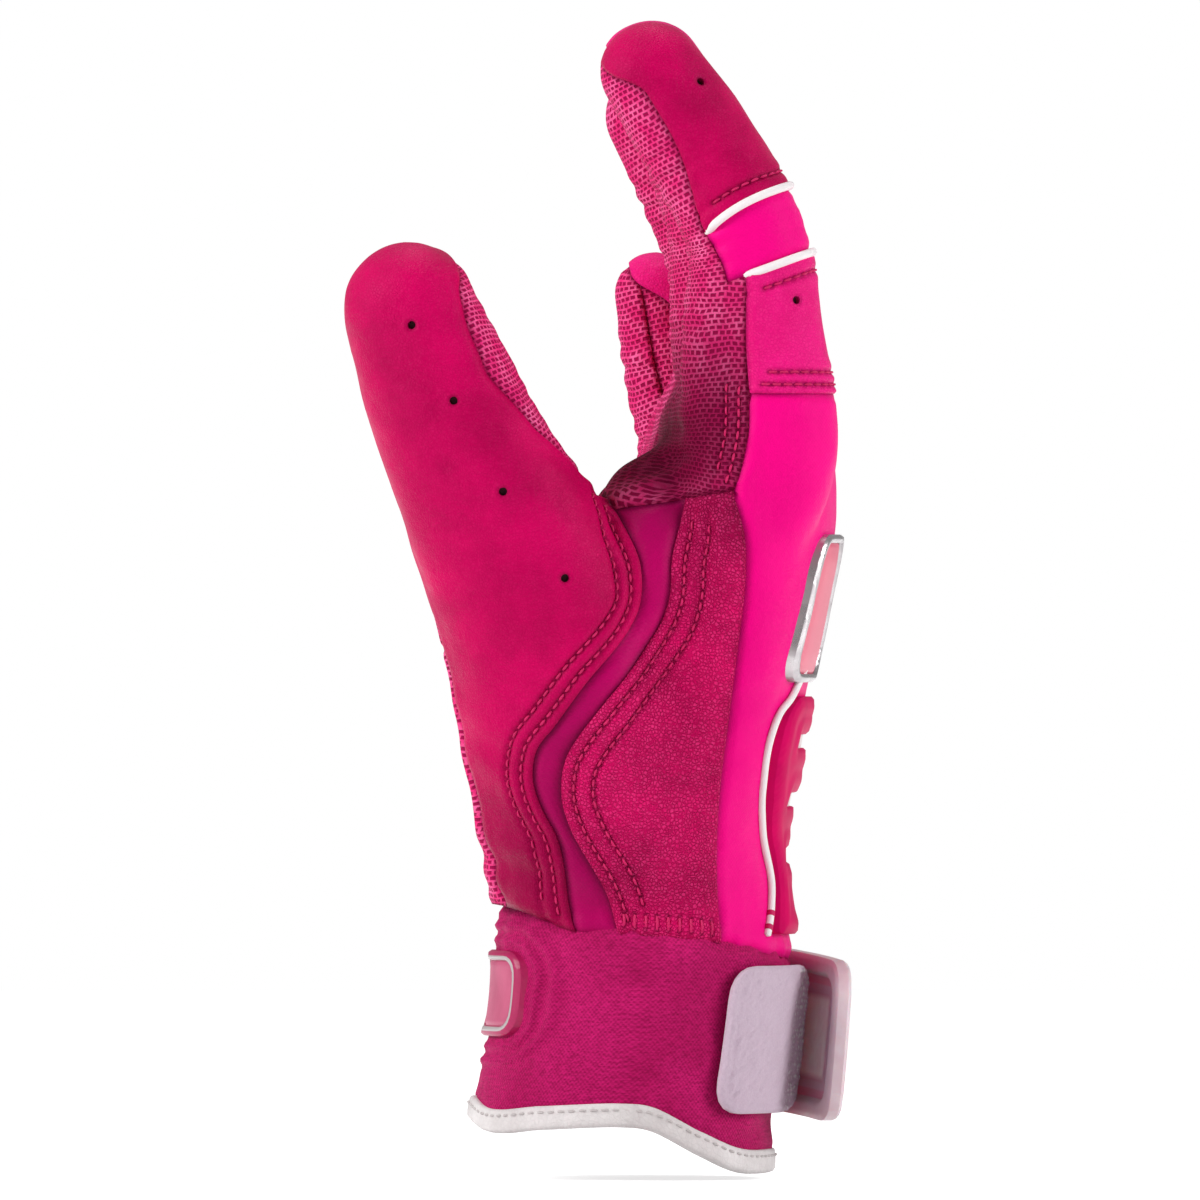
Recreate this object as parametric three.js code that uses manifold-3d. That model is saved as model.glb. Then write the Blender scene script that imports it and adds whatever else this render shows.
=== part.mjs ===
import * as THREE from 'three';
import { mergeVertices } from 'three/addons/utils/BufferGeometryUtils.js';
import Module from 'manifold-3d';

// A right-hand batting glove, in the shape that it has on an upright hand.
// Millimetres. +X is the back of the hand, -X the palm, -Y the thumb side, +Z the fingertips.
// The origin is the centre of the wrist opening, level with the lowest point of the cuff.

// Cloth, leather and seams
const leatherThickness = 1.2;
const seamGap = 0.3;
const weldDistance = 0.00001;
const overrun = 8;
const farAway = 140;

// The hand: from the bottom of the cuff to the index knuckle, across the knuckles, and front to back
const knuckleHeight = 135;
const handBreadth = 83;
const handDepth = 30;
const ulnarDrop = 12;
const sectionRoundnessShare = 2.3;

// Sections of the hand from the wrist up, as shares: height of knuckleHeight, centre to the back of
// handBreadth, half depth of handDepth, half breadth of handBreadth, and arch of ulnarDrop
const handSectionShares = [
    [0.22, 0.043, 0.917, 0.37, 0],
    [0.33, 0.047, 0.903, 0.366, 0],
    [0.39, 0.052, 0.85, 0.366, 0.05],
    [0.46, 0.072, 0.77, 0.386, 0.15],
    [0.555, 0.148, 0.64, 0.418, 0.35],
    [0.65, 0.215, 0.53, 0.445, 0.55],
    [0.79, 0.263, 0.527, 0.48, 0.9],
    [0.9, 0.262, 0.62, 0.495, 1],
    [1.02, 0.278, 0.55, 0.497, 1],
    [1.17, 0.289, 0.333, 0.492, 1],
];

// Top of the hand between the fingers, seen from the back: across as a share of half the hand's
// breadth, height as a share of knuckleHeight
const webLineShares = [
    [-1.3, 1.0], [-1, 1.02], [-0.74, 1.08], [-0.49, 1.133], [-0.24, 1.14], [0, 1.145],
    [0.24, 1.13], [0.38, 1.06], [0.49, 0.985], [0.72, 0.93], [1, 0.86], [1.3, 0.84],
];

// Fingers: pitch between neighbours, and full depth and width at each joint
const fingerPitch = 20.5;
const heelDrop = 20;
const heelDepth = 21;
const heelWidth = 17;
const knuckleDepth = 29.4;
const knuckleWidth = 21.4;
const webDepth = 26.6;
const webWidth = 20.4;
const middleJointDepth = 22.8;
const middleJointWidth = 19.5;
const endJointDepth = 21.2;
const endJointWidth = 18.2;
const tipDepth = 18.8;
const tipWidth = 16.6;

// One entry per finger, all shares: place of the knuckle in fingerPitch, knuckleHeight and handBreadth,
// size beside the full sizes, where its back leather begins between knuckle and middle joint, and the
// three bones in fingerBone; and how far each bone leans to the palm
const fingerBone = 40;
const fingerShares = [
    {
        name: 'index', row: -1.49, height: 1, back: 0.308, size: 1, base: 0.28,
        bones: [0.988, 0.445, 0.465], leanDegrees: [3.2, 26, 32],
    },
    {
        name: 'middle', row: -0.49, height: 1.015, back: 0.307, size: 1, base: 0.04,
        bones: [1, 0.445, 0.395], leanDegrees: [8, 20, 32],
    },
    {
        name: 'ring', row: 0.51, height: 0.992, back: 0.3, size: 0.985, base: 0.08,
        bones: [0.962, 0.405, 0.338], leanDegrees: [8, 24, 29],
    },
    {
        name: 'little', row: 1.46, height: 0.83, back: 0.205, size: 0.85, base: 0.18,
        bones: [0.688, 0.37, 0.29], leanDegrees: [9, 14, 12],
    },
];

// Thumb: root at the wrist, three bones, leans to the palm and to the thumb side, and its sections
const thumbRootShare = { back: 0.018, across: -0.075, height: 0.24 };
const thumbRootLength = 18;
const metacarpalLength = 62;
const thumbProximalLength = 38;
const thumbDistalLength = 22.4;
const thumbLeanDegrees = [4, 15.6, 24.6, 21.4];
const thumbSideLeanDegrees = [20, 16.5, 9, 0];
const thumbFacingDegrees = 14;
const thumbHeelDepth = 33;
const thumbHeelWidth = 48.5;
const thumbKnuckleDepth = 31;
const thumbKnuckleWidth = 38.8;
const thumbJointDepth = 24.5;
const thumbJointWidth = 29.8;
const thumbTipDepth = 22;
const thumbTipWidth = 25;

// The fold of leather between thumb and palm: place as shares, and full sizes
const thumbWebShare = { back: 0.07, across: -0.27, height: 0.84 };
const thumbWebDepth = 27;
const thumbWebWidth = 36;
const thumbWebHeight = 42;

// Bending zones at the middle joints and at the thumb's joint
const zoneAboveJoint = 7;
const zoneBelowJoint = 6;
const zoneFrontHeight = 11.5;
const thumbZoneHalfHeight = 5.5;
const thumbZoneFrontHeight = 9;
const zoneLeanShare = 0.75;

// Seams along the digits, as shares of the half depth or half width
const fingerSeamShare = -0.33;
const thumbSeamShare = 0.42;
const fourchetteShares = { front: -0.36, back: 0.42, side: 0.5 };

// Piping cords
const fingerPipingRadius = 0.8;
const handPipingRadius = 0.95;

// Cuff, its binding and the closure
const cuffThickness = 2;
const cuffProud = 0.4;
const bindingHeight = 4.4;
const bindingProud = 0.7;
const loopPadThickness = 0.9;
const padInset = 1.8;
const hookTabThickness = 1.3;
const strapThickness = 3;
const strapPocketDepth = 1.4;
const strapRimWidth = 3.2;
const strapStandOff = 10.7;
const strapFlare = 1.5;
const strapCornerRadius = 6;
const tabCornerRadius = 6.5;

// Moulded trim on the back of the hand and on the cuff
const panelThickness = 1.3;
const underlayThickness = 0.6;
const slotHeight = 2.6;
const badgeThickness = 2.2;
const badgeWidth = 30;
const badgeHeight = 28.5;
const badgeRim = 2.4;
const patchThickness = 1.2;
const patchWidth = 31;
const patchHeight = 16;
const patchRim = 1.9;
const ventDiameter = 1.8;

// Facets round a digit and round half of the hand
const digitSides = 12;
const halfHandSides = 11;
const blockStep = 11;
const axisSteps = 400;
const holeSides = 6;
const radians = THREE.MathUtils.degToRad;

const wasm = await Module();
wasm.setup();

// Turns a closed three.js geometry into a solid, and a solid back into a geometry
function solid(geometry) {
    const bare = geometry.clone();
    for (const name of Object.keys(bare.attributes)) {
        if (name !== 'position') bare.deleteAttribute(name);
    }
    const merged = mergeVertices(bare, weldDistance);
    return new wasm.Manifold(new wasm.Mesh({
        numProp: 3,
        vertProperties: new Float32Array(merged.attributes.position.array),
        triVerts: new Uint32Array(merged.index.array),
    }));
}

function geometryOf(shape) {
    const mesh = shape.getMesh();
    const geometry = new THREE.BufferGeometry();
    const position = new Float32Array(mesh.numVert * 3);
    for (let i = 0; i < mesh.numVert; i++) {
        for (let k = 0; k < 3; k++) position[3 * i + k] = mesh.vertProperties[mesh.numProp * i + k];
    }
    geometry.setAttribute('position', new THREE.BufferAttribute(position, 3));
    geometry.setIndex(new THREE.BufferAttribute(new Uint32Array(mesh.triVerts), 1));
    geometry.computeVertexNormals();
    return geometry;
}

// The main body of a cut, without the crumbs that a grazing cut leaves
function mainBody(shape) {
    const bodies = shape.decompose();
    return bodies.reduce((best, body) => (body.volume() > best.volume() ? body : best));
}

function unite(shapes) {
    return shapes.reduce((sum, shape) => sum.add(shape));
}

// Joins closed rings of equally many points into a solid, with a flat or pointed end at each side
function loft(rings) {
    const size = rings[0].length;
    const points = rings.flat();
    const index = [];
    for (let i = 0; i + 1 < rings.length; i++) {
        for (let j = 0; j < size; j++) {
            const a = i * size + j;
            const b = i * size + (j + 1) % size;
            index.push(a, b, b + size, a, b + size, a + size);
        }
    }
    for (const [ring, flip] of [[0, true], [rings.length - 1, false]]) {
        const centre = new THREE.Vector3();
        rings[ring].forEach((point) => centre.add(point));
        points.push(centre.divideScalar(size));
        for (let j = 0; j < size; j++) {
            const a = ring * size + j;
            const b = ring * size + (j + 1) % size;
            if (flip) index.push(points.length - 1, b, a);
            else index.push(points.length - 1, a, b);
        }
    }
    const geometry = new THREE.BufferGeometry().setFromPoints(points);
    geometry.setIndex(index);
    return solid(geometry);
}

// The row of a table of [place, value, ...] rows at a place, straight from row to row
function tableRow(table, place) {
    let i = 0;
    while (i < table.length - 2 && place > table[i + 1][0]) i++;
    const [low, high] = [table[i], table[i + 1]];
    const t = THREE.MathUtils.clamp((place - low[0]) / (high[0] - low[0]), 0, 1);
    return low.map((value, k) => THREE.MathUtils.lerp(value, high[k], t));
}

function roundPower(value, roundness) {
    return Math.sign(value) * Math.abs(value) ** (2 / roundness);
}

// The hand's section at one height
function handSection(height) {
    const row = tableRow(handSectionShares, height / knuckleHeight);
    return {
        back: row[1] * handBreadth,
        halfDepth: row[2] * handDepth,
        halfBreadth: row[3] * handBreadth,
        arch: row[4] * ulnarDrop,
    };
}

function archShift(section, across) {
    return -section.arch * Math.max(0, across / section.halfBreadth) ** 1.5;
}

// Rings of the hand, grown outward by offset
function handSolid(offset, webOffset) {
    const rings = handSectionShares.map(([share]) => {
        const height = share * knuckleHeight;
        const section = handSection(height);
        const ring = [];
        for (let i = 0; i < 2 * halfHandSides; i++) {
            const angle = Math.PI * i / halfHandSides;
            const x = roundPower(Math.cos(angle), sectionRoundnessShare) * (section.halfDepth + offset);
            const y = roundPower(Math.sin(angle), sectionRoundnessShare) * (section.halfBreadth + offset);
            ring.push(new THREE.Vector3(section.back + x + archShift(section, y), y, height));
        }
        return ring;
    });
    const top = webLineShares.map(([across, height]) => [
        across * handBreadth / 2, height * knuckleHeight + webOffset]);
    const outline = [...top, [farAway, 0], [-farAway, 0]];
    return loft(rings).intersect(prismAlongX(outline, -farAway, farAway));
}

// The back of the hand at a place across and a height, grown outward by offset
function backOfHand(across, height, offset) {
    const section = handSection(height);
    const share = Math.min(1, Math.abs(across) / (section.halfBreadth + offset));
    const depth = (1 - share ** sectionRoundnessShare) ** (1 / sectionRoundnessShare);
    const x = section.back + (section.halfDepth + offset) * depth + archShift(section, across);
    return new THREE.Vector3(x, across, height);
}

// Prisms of outlines drawn from the side, as [x, z], and from the back, as [y, z]
function prismAlongY(outline, from, to) {
    const shape = new THREE.Shape(outline.map(([x, z]) => new THREE.Vector2(x, z)));
    const geometry = new THREE.ExtrudeGeometry(shape, { depth: to - from, bevelEnabled: false });
    geometry.rotateX(Math.PI / 2);
    geometry.translate(0, to, 0);
    return solid(geometry);
}

function prismAlongX(outline, from, to) {
    const points = outline.map((point) => new THREE.Vector2(...point));
    return extrudeAlongX(new THREE.Shape(points), from, to);
}

function extrudeAlongX(shape, from, to) {
    const options = { depth: to - from, bevelEnabled: false, curveSegments: 2 };
    const geometry = new THREE.ExtrudeGeometry(shape, options);
    const basis = new THREE.Matrix4().makeBasis(
        new THREE.Vector3(0, 1, 0), new THREE.Vector3(0, 0, 1), new THREE.Vector3(1, 0, 0));
    geometry.applyMatrix4(basis);
    geometry.translate(from, 0, 0);
    return solid(geometry);
}

// A digit: a smooth axis through its joints and its section at each joint
function makeDigit(name, joints, facing, sections) {
    const axis = new THREE.CatmullRomCurve3(joints, false, 'centripetal');
    axis.arcLengthDivisions = axisSteps;
    const length = axis.getLength();
    const lengths = axis.getLengths(axisSteps);
    const distances = joints.map((joint, i) => lengths[Math.round(axisSteps * i / (joints.length - 1))]);
    return { name, joints, axis, length, facing, distances, sections };
}

function digitFrame(digit, distance) {
    const share = THREE.MathUtils.clamp(distance / digit.length, 0, 1);
    const along = digit.axis.getTangentAt(share);
    const point = digit.axis.getPointAt(share);
    point.addScaledVector(along, distance - share * digit.length);
    const back = digit.facing.clone().addScaledVector(along, -digit.facing.dot(along)).normalize();
    const side = new THREE.Vector3().crossVectors(along, back);
    return { point, along, back, side };
}

function digitSize(digit, distance) {
    const table = digit.distances.map((place, i) => [place, ...digit.sections[i]]);
    const [, depth, width] = tableRow(table, distance);
    return { halfDepth: depth / 2, halfWidth: width / 2 };
}

// A point on a digit's skin: the angle is 0 at the back and 90 degrees on the little-finger side
function digitPoint(digit, distance, angle, offset, scale = 1) {
    const frame = digitFrame(digit, distance);
    const size = digitSize(digit, distance);
    const back = roundPower(Math.cos(angle), sectionRoundnessShare) * (size.halfDepth + offset) * scale;
    const side = roundPower(Math.sin(angle), sectionRoundnessShare) * (size.halfWidth + offset) * scale;
    return frame.point.addScaledVector(frame.back, back).addScaledVector(frame.side, side);
}

// The whole digit with a domed tip, grown outward by offset
function digitSolid(digit, offset, stations, domeSteps = 3) {
    const rings = [];
    const ringAt = (distance, scale) => {
        const ring = [];
        for (let i = 0; i < digitSides; i++) {
            ring.push(digitPoint(digit, distance, 2 * Math.PI * i / digitSides, offset, scale));
        }
        rings.push(ring);
    };
    for (const distance of stations) ringAt(distance, 1);
    const tip = digitSize(digit, digit.length);
    const reach = Math.max(tip.halfDepth, tip.halfWidth) + offset;
    for (let i = 1; i <= domeSteps; i++) {
        const angle = 0.5 * Math.PI * (i - 0.25) / domeSteps;
        ringAt(digit.length + reach * Math.sin(angle), Math.cos(angle));
    }
    return loft(rings);
}

// A block that follows a digit between two distances: limits across its depth and width
function digitBlock(digit, from, to, depthLimits, sideLimits, grow) {
    const steps = Math.max(2, Math.ceil((to - from) / blockStep));
    const rings = [];
    for (let i = 0; i <= steps; i++) {
        const distance = from - grow + (to - from + 2 * grow) * i / steps;
        const frame = digitFrame(digit, distance);
        const size = digitSize(digit, distance);
        const [low, high] = depthLimits(size).map((limit, k) => limit + (k ? grow : -grow));
        const [left, right] = sideLimits(size).map((limit, k) => limit + (k ? grow : -grow));
        rings.push([[high, left], [high, right], [low, right], [low, left]].map(([depth, side]) =>
            frame.point.clone().addScaledVector(frame.back, depth).addScaledVector(frame.side, side)));
    }
    return loft(rings);
}

// A prism in the frame of a digit's joint: outline as [to the back, along the digit]
function jointPrism(frame, outline, halfWidth) {
    const shape = new THREE.Shape(outline.map(([depth, along]) => new THREE.Vector2(depth, along)));
    const geometry = new THREE.ExtrudeGeometry(shape, { depth: 2 * halfWidth, bevelEnabled: false });
    geometry.translate(0, 0, -halfWidth);
    const basis = new THREE.Matrix4().makeBasis(frame.back, frame.along, frame.side.clone().negate());
    geometry.applyMatrix4(basis);
    geometry.translate(frame.point.x, frame.point.y, frame.point.z);
    return solid(geometry);
}

// Walks from a start point along bones that lean to the palm and to the thumb side
function walkBones(start, lengths, leans, sideLeans) {
    const joints = [start.clone()];
    lengths.forEach((length, i) => {
        const lean = radians(leans[i]);
        const side = radians(sideLeans[i]);
        const bone = new THREE.Vector3(
            -Math.sin(lean) * Math.cos(side), -Math.sin(side), Math.cos(lean) * Math.cos(side));
        joints.push(joints[i].clone().addScaledVector(bone, length));
    });
    return joints;
}

function makeFinger(finger) {
    const knuckle = new THREE.Vector3(
        finger.back * handBreadth, finger.row * fingerPitch, finger.height * knuckleHeight);
    const heelHeight = knuckle.z - heelDrop;
    const section = handSection(heelHeight);
    const heel = new THREE.Vector3(section.back + archShift(section, knuckle.y), knuckle.y, heelHeight);
    const lengths = finger.bones.map((share) => share * fingerBone);
    const bones = walkBones(knuckle, lengths, finger.leanDegrees, [0, 0, 0]);
    const web = bones[0].clone().lerp(bones[1], 0.5);
    const sizes = [
        [heelDepth, heelWidth], [knuckleDepth, knuckleWidth], [webDepth, webWidth],
        [middleJointDepth, middleJointWidth], [endJointDepth, endJointWidth], [tipDepth, tipWidth],
    ].map((pair) => pair.map((size) => size * finger.size));
    const joints = [heel, bones[0], web, bones[1], bones[2], bones[3]];
    const digit = makeDigit(finger.name, joints, new THREE.Vector3(1, 0, 0), sizes);
    const lean = THREE.MathUtils.lerp(finger.leanDegrees[0], finger.leanDegrees[1], zoneLeanShare);
    return { ...digit, finger, bend: leaningFrame(digit, 3, lean) };
}

// The frame of a bending joint, with its own lean to the palm
function leaningFrame(digit, jointNumber, leanDegrees) {
    const frame = digitFrame(digit, digit.distances[jointNumber]);
    const lean = radians(leanDegrees);
    const along = new THREE.Vector3(-Math.sin(lean), 0, Math.cos(lean));
    const back = new THREE.Vector3().crossVectors(frame.side, along);
    return { point: frame.point, along, side: frame.side, back };
}

function makeThumb() {
    const start = new THREE.Vector3(thumbRootShare.back * handBreadth,
        thumbRootShare.across * handBreadth, thumbRootShare.height * knuckleHeight);
    const lengths = [thumbRootLength, metacarpalLength, thumbProximalLength, thumbDistalLength];
    const joints = walkBones(start, lengths, thumbLeanDegrees, thumbSideLeanDegrees);
    const facing = new THREE.Vector3(
        -Math.sin(radians(thumbFacingDegrees)), -Math.cos(radians(thumbFacingDegrees)), 0);
    const sizes = [
        [thumbHeelDepth, thumbHeelWidth], [thumbHeelDepth, thumbHeelWidth],
        [thumbKnuckleDepth, thumbKnuckleWidth], [thumbJointDepth, thumbJointWidth],
        [thumbTipDepth, thumbTipWidth],
    ];
    const digit = makeDigit('thumb', joints, facing, sizes);
    return { ...digit, bend: digitFrame(digit, digit.distances[3]) };
}

const digits = fingerShares.map(makeFinger);
const thumb = makeThumb();

// The skin of the glove: hand, fingers and thumb as one hollow shell
function fingerStations(digit) {
    const [heel, knuckle, web, joint, end] = digit.distances;
    return [heel, knuckle, web, joint - zoneBelowJoint, joint, joint + zoneAboveJoint, end, digit.length];
}

function thumbStations() {
    const [root, heel, knuckle, joint] = thumb.distances;
    return [root, heel, (heel + knuckle) / 2, knuckle, (knuckle + joint) / 2, joint,
        (joint + thumb.length) / 2, thumb.length];
}

function gloveForm(offset) {
    const web = new THREE.SphereGeometry(1, 14, 9);
    web.scale(thumbWebDepth / 2 + offset, thumbWebWidth / 2 + offset, thumbWebHeight / 2 + offset);
    web.translate(thumbWebShare.back * handBreadth, thumbWebShare.across * handBreadth,
        thumbWebShare.height * knuckleHeight);
    const parts = [handSolid(offset, offset), digitSolid(thumb, offset, thumbStations()), solid(web)];
    for (const digit of digits) parts.push(digitSolid(digit, offset, fingerStations(digit)));
    return unite(parts);
}

// Places in the side view are shares of handBreadth to the back and of knuckleHeight upward
function sidePoints(shares) {
    return shares.map(([back, height]) => [back * handBreadth, height * knuckleHeight]);
}

const wristSeamShares = [[-0.276, 0.372], [-0.106, 0.337], [-0.005, 0.334], [0.234, 0.32], [0.396, 0.296]];

function aboveLine(line, raise) {
    const first = line[0];
    const last = line[line.length - 1];
    return [[-farAway, first[1] + raise], ...line.map(([x, z]) => [x, z + raise]),
        [farAway, last[1] + raise], [farAway, 2 * farAway], [-farAway, 2 * farAway]];
}

const wristSeam = sidePoints(wristSeamShares);
const outerForm = gloveForm(0);
let skin = outerForm.subtract(gloveForm(-leatherThickness))
    .intersect(prismAlongY(aboveLine(wristSeam, seamGap / 2), -farAway, farAway));

const group = new THREE.Group();

function addNode(name, shape, finish) {
    const material = new THREE.MeshStandardMaterial(finish);
    const mesh = new THREE.Mesh(geometryOf(mainBody(shape)), material);
    mesh.name = name;
    group.add(mesh);
    return mesh;
}

// Takes a region out of the skin: the region is a function of how much it is grown
function takePanel(region) {
    const panel = skin.intersect(region(0));
    skin = skin.subtract(region(seamGap));
    return panel;
}

const leather = { color: '#c8006a', roughness: 0.55 };
const stretchCloth = { color: '#ff0a94', roughness: 0.6 };
const gripLeather = { color: '#b3125f', roughness: 0.78 };
const grainLeather = { color: '#c4045f', roughness: 0.7 };
const gussetCloth = { color: '#d6047a', roughness: 0.5 };
const whitePiping = { color: '#ece6e8', roughness: 0.5 };
const whiteCloth = { color: '#ece6e8', roughness: 0.8 };
const bindingTape = { color: '#dcd8d6', roughness: 0.7 };
const knit = { color: '#d81a78', roughness: 0.9 };
const loopTape = { color: '#d6047a', roughness: 0.95 };
const hookTape = { color: '#dcb4d8', roughness: 0.9 };
const clearRubber = { color: '#e29ab8', roughness: 0.35 };
const pinkRubber = { color: '#c8006a', roughness: 0.45 };
const pinkPlate = { color: '#d6047a', roughness: 0.5 };
const brightTrim = { color: '#c9c6c6', roughness: 0.3, metalness: 0.8 };
const paleTrim = { color: '#c9c6c6', roughness: 0.4, metalness: 0.5 };

// Outlines of the parts of a digit beyond and before its bending zone, as [to the back, along]
function zoneOutlines(above, below, frontHeight, halfDepth, grow) {
    const side = (height, front) => [[farAway, height], [halfDepth * fingerSeamShare, height],
        [-halfDepth, front], [-2 * halfDepth, front]];
    const upper = side(above, frontHeight);
    const lower = side(-below, -frontHeight);
    const raised = (line, by) => line.map(([depth, along]) => [depth, along + by]);
    return {
        beyond: [...raised(upper, -grow), [-2 * halfDepth, farAway], [farAway, farAway]],
        before: [...raised(lower, grow), [-2 * halfDepth, -farAway], [farAway, -farAway]].reverse(),
        zone: [...raised(lower, -grow), ...raised(upper, grow).reverse()],
    };
}

function ventHole(digit, distance, angle) {
    const outside = digitPoint(digit, distance, angle, overrun / 2);
    const inside = digitPoint(digit, distance, angle, -overrun / 2);
    const length = outside.distanceTo(inside);
    const geometry = new THREE.CylinderGeometry(ventDiameter / 2, ventDiameter / 2, length, holeSides);
    const turn = new THREE.Quaternion().setFromUnitVectors(
        new THREE.Vector3(0, 1, 0), outside.clone().sub(inside).divideScalar(length));
    geometry.applyQuaternion(turn);
    const middle = outside.add(inside).multiplyScalar(0.5);
    geometry.translate(middle.x, middle.y, middle.z);
    return solid(geometry);
}

// A cord along a curve
function cord(points, radius) {
    const curve = new THREE.CatmullRomCurve3(points, false, 'centripetal');
    const section = new THREE.Shape();
    section.absarc(0, 0, radius, 0, 2 * Math.PI);
    const geometry = new THREE.ExtrudeGeometry(section, {
        steps: points.length, bevelEnabled: false, extrudePath: curve, curveSegments: 3 });
    return solid(geometry);
}

// The point of a digit's skin at an angle that lies a given way along a joint's frame
function skinPointInPlane(digit, frame, along, angle, offset) {
    const middle = digit.distances[3];
    let [low, high] = [middle - knuckleDepth, middle + knuckleDepth];
    for (let i = 0; i < 30; i++) {
        const distance = (low + high) / 2;
        const place = digitPoint(digit, distance, angle, offset).sub(frame.point).dot(frame.along);
        if (place < along) low = distance;
        else high = distance;
    }
    return digitPoint(digit, low, angle, offset);
}

// A piping cord round the back of a finger, from one side to the other
function fingerPiping(digit, along, fromDegrees, toDegrees) {
    const points = [];
    for (let i = 0; i <= pipingSteps; i++) {
        const angle = radians(THREE.MathUtils.lerp(fromDegrees, toDegrees, i / pipingSteps));
        points.push(skinPointInPlane(digit, digit.bend, along, angle, fingerPipingRadius + seamGap));
    }
    return cord(points, fingerPipingRadius);
}

// Tips and bending zones of the four fingers
const pipingInnerDegrees = 58;
const pipingOuterDegrees = 104;
const pipingSteps = 6;
const ventAngleDegrees = -52;
const ventShares = { tip: 0.82, base: 0.72 };

digits.forEach((digit, row) => {
    const { name, bend, finger } = digit;
    const share = finger.size;
    const halfDepth = middleJointDepth / 2 * share;
    const outlines = (grow) => zoneOutlines(
        zoneAboveJoint * share, zoneBelowJoint * share, zoneFrontHeight * share, halfDepth, grow);
    const reach = fingerPitch / 2 * share;
    const jointAt = digit.distances[3];
    const tip = takePanel((grow) => jointPrism(bend, outlines(grow).beyond, reach));
    const zone = takePanel((grow) => jointPrism(bend, outlines(grow).zone, reach));
    const wide = () => [-fingerPitch, fingerPitch];
    const backHalf = (grow) => digitBlock(digit, jointAt - fingerPitch, digit.length + fingerPitch,
        (size) => [size.halfDepth * fingerSeamShare, size.halfDepth + overrun], wide, grow);
    const ventAt = THREE.MathUtils.lerp(jointAt, digit.length, ventShares.tip);
    const vent = ventHole(digit, ventAt, radians(ventAngleDegrees));
    addNode(`${name}_tip_back`, tip.intersect(backHalf(0)).subtract(vent), leather);
    addNode(`${name}_tip_front`, tip.subtract(backHalf(seamGap)), gripLeather);
    addNode(`${name}_knuckle_gusset`, zone.intersect(backHalf(0)), stretchCloth);
    addNode(`${name}_crease`, zone.subtract(backHalf(seamGap)), gripLeather);
    const from = -(row === 0 ? pipingOuterDegrees : pipingInnerDegrees);
    const to = row === 3 ? pipingOuterDegrees : pipingInnerDegrees;
    const lift = fingerPipingRadius;
    const upper = fingerPiping(digit, zoneAboveJoint * share + lift, from, to);
    const lower = fingerPiping(digit, -zoneBelowJoint * share - lift, from, to);
    addNode(`${name}_upper_piping`, upper, whitePiping);
    addNode(`${name}_lower_piping`, lower, whitePiping);
});

// Thumb: tip, bending zone, back panel and front panel
function thumbSides(size) {
    return [-size.halfWidth - overrun, size.halfWidth + overrun];
}

const thumbRightEdgeShares = [
    [-0.05, 0.93], [0.007, 0.875], [0.041, 0.826], [0.048, 0.788], [0.007, 0.729], [-0.072, 0.673],
    [-0.152, 0.6], [-0.19, 0.559], [-0.193, 0.51], [-0.163, 0.459], [-0.129, 0.404], [-0.1, 0.3],
];
const wrapLeftEdgeShares = [
    [0.154, 0.935], [0.131, 0.877], [0.109, 0.818], [0.041, 0.744], [-0.05, 0.67], [-0.113, 0.61],
    [-0.122, 0.551], [-0.088, 0.477], [-0.05, 0.418], [0, 0.3],
];
const wrapRightEdgeShares = [
    [0.256, 0.94], [0.274, 0.936], [0.272, 0.847], [0.256, 0.758], [0.245, 0.625], [0.234, 0.477],
    [0.227, 0.3],
];
const thumbRightEdge = sidePoints(thumbRightEdgeShares);
const wrapLeftEdge = sidePoints(wrapLeftEdgeShares);
const wrapRightEdge = sidePoints(wrapRightEdgeShares);
const wrapReachShare = 0.2;
const wrapReach = handBreadth * wrapReachShare;

// Moves an edge that runs down the hand, to the back by a positive distance
function moved(edge, distance) {
    return edge.map(([x, z], i) => {
        const [x0, z0] = edge[Math.max(0, i - 1)];
        const [x1, z1] = edge[Math.min(edge.length - 1, i + 1)];
        const length = Math.hypot(x1 - x0, z1 - z0);
        return [x - distance * (z1 - z0) / length, z + distance * (x1 - x0) / length];
    });
}

// The strip between two edges, grown outward, with its top end lifted
function stripBetween(left, right, grow) {
    const lifted = (edge) => edge.map(([x, z], i) => [x, i === 0 ? z + 2 * grow : z]);
    return [...lifted(moved(left, -grow)), ...lifted(moved(right, grow)).reverse()];
}

const thumbJointAt = thumb.distances[3];
const thumbBelow = thumb.distances[2];

function thumbZone(grow) {
    return zoneOutlines(thumbZoneHalfHeight, thumbZoneHalfHeight, thumbZoneFrontHeight,
        thumbJointDepth / 2, grow);
}

function thumbBackHalf(grow) {
    return digitBlock(thumb, 0, thumb.length + thumbJointWidth,
        (size) => [size.halfDepth * thumbSeamShare, size.halfDepth + overrun], thumbSides, grow);
}

const thumbReach = thumbJointWidth;
const thumbTip = takePanel((grow) => jointPrism(thumb.bend, thumbZone(grow).beyond, thumbReach));
const thumbBend = takePanel((grow) => jointPrism(thumb.bend, thumbZone(grow).zone, thumbReach));
const thumbVentShares = [[1.176, 6], [1.07, 14], [0.95, 17], [0.829, 29]];
const thumbVents = unite(thumbVentShares.map(([height, degrees]) =>
    ventHole(thumb, distanceAtHeight(thumb, height * knuckleHeight), radians(degrees))));

addNode('thumb_tip_back', thumbTip.intersect(thumbBackHalf(0)).subtract(thumbVents), leather);
addNode('thumb_tip_front', thumbTip.subtract(thumbBackHalf(seamGap)), gripLeather);
addNode('thumb_flex_back', thumbBend.intersect(thumbBackHalf(0)).subtract(thumbVents), leather);
addNode('thumb_flex_front', thumbBend.subtract(thumbBackHalf(seamGap)), gripLeather);

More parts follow.
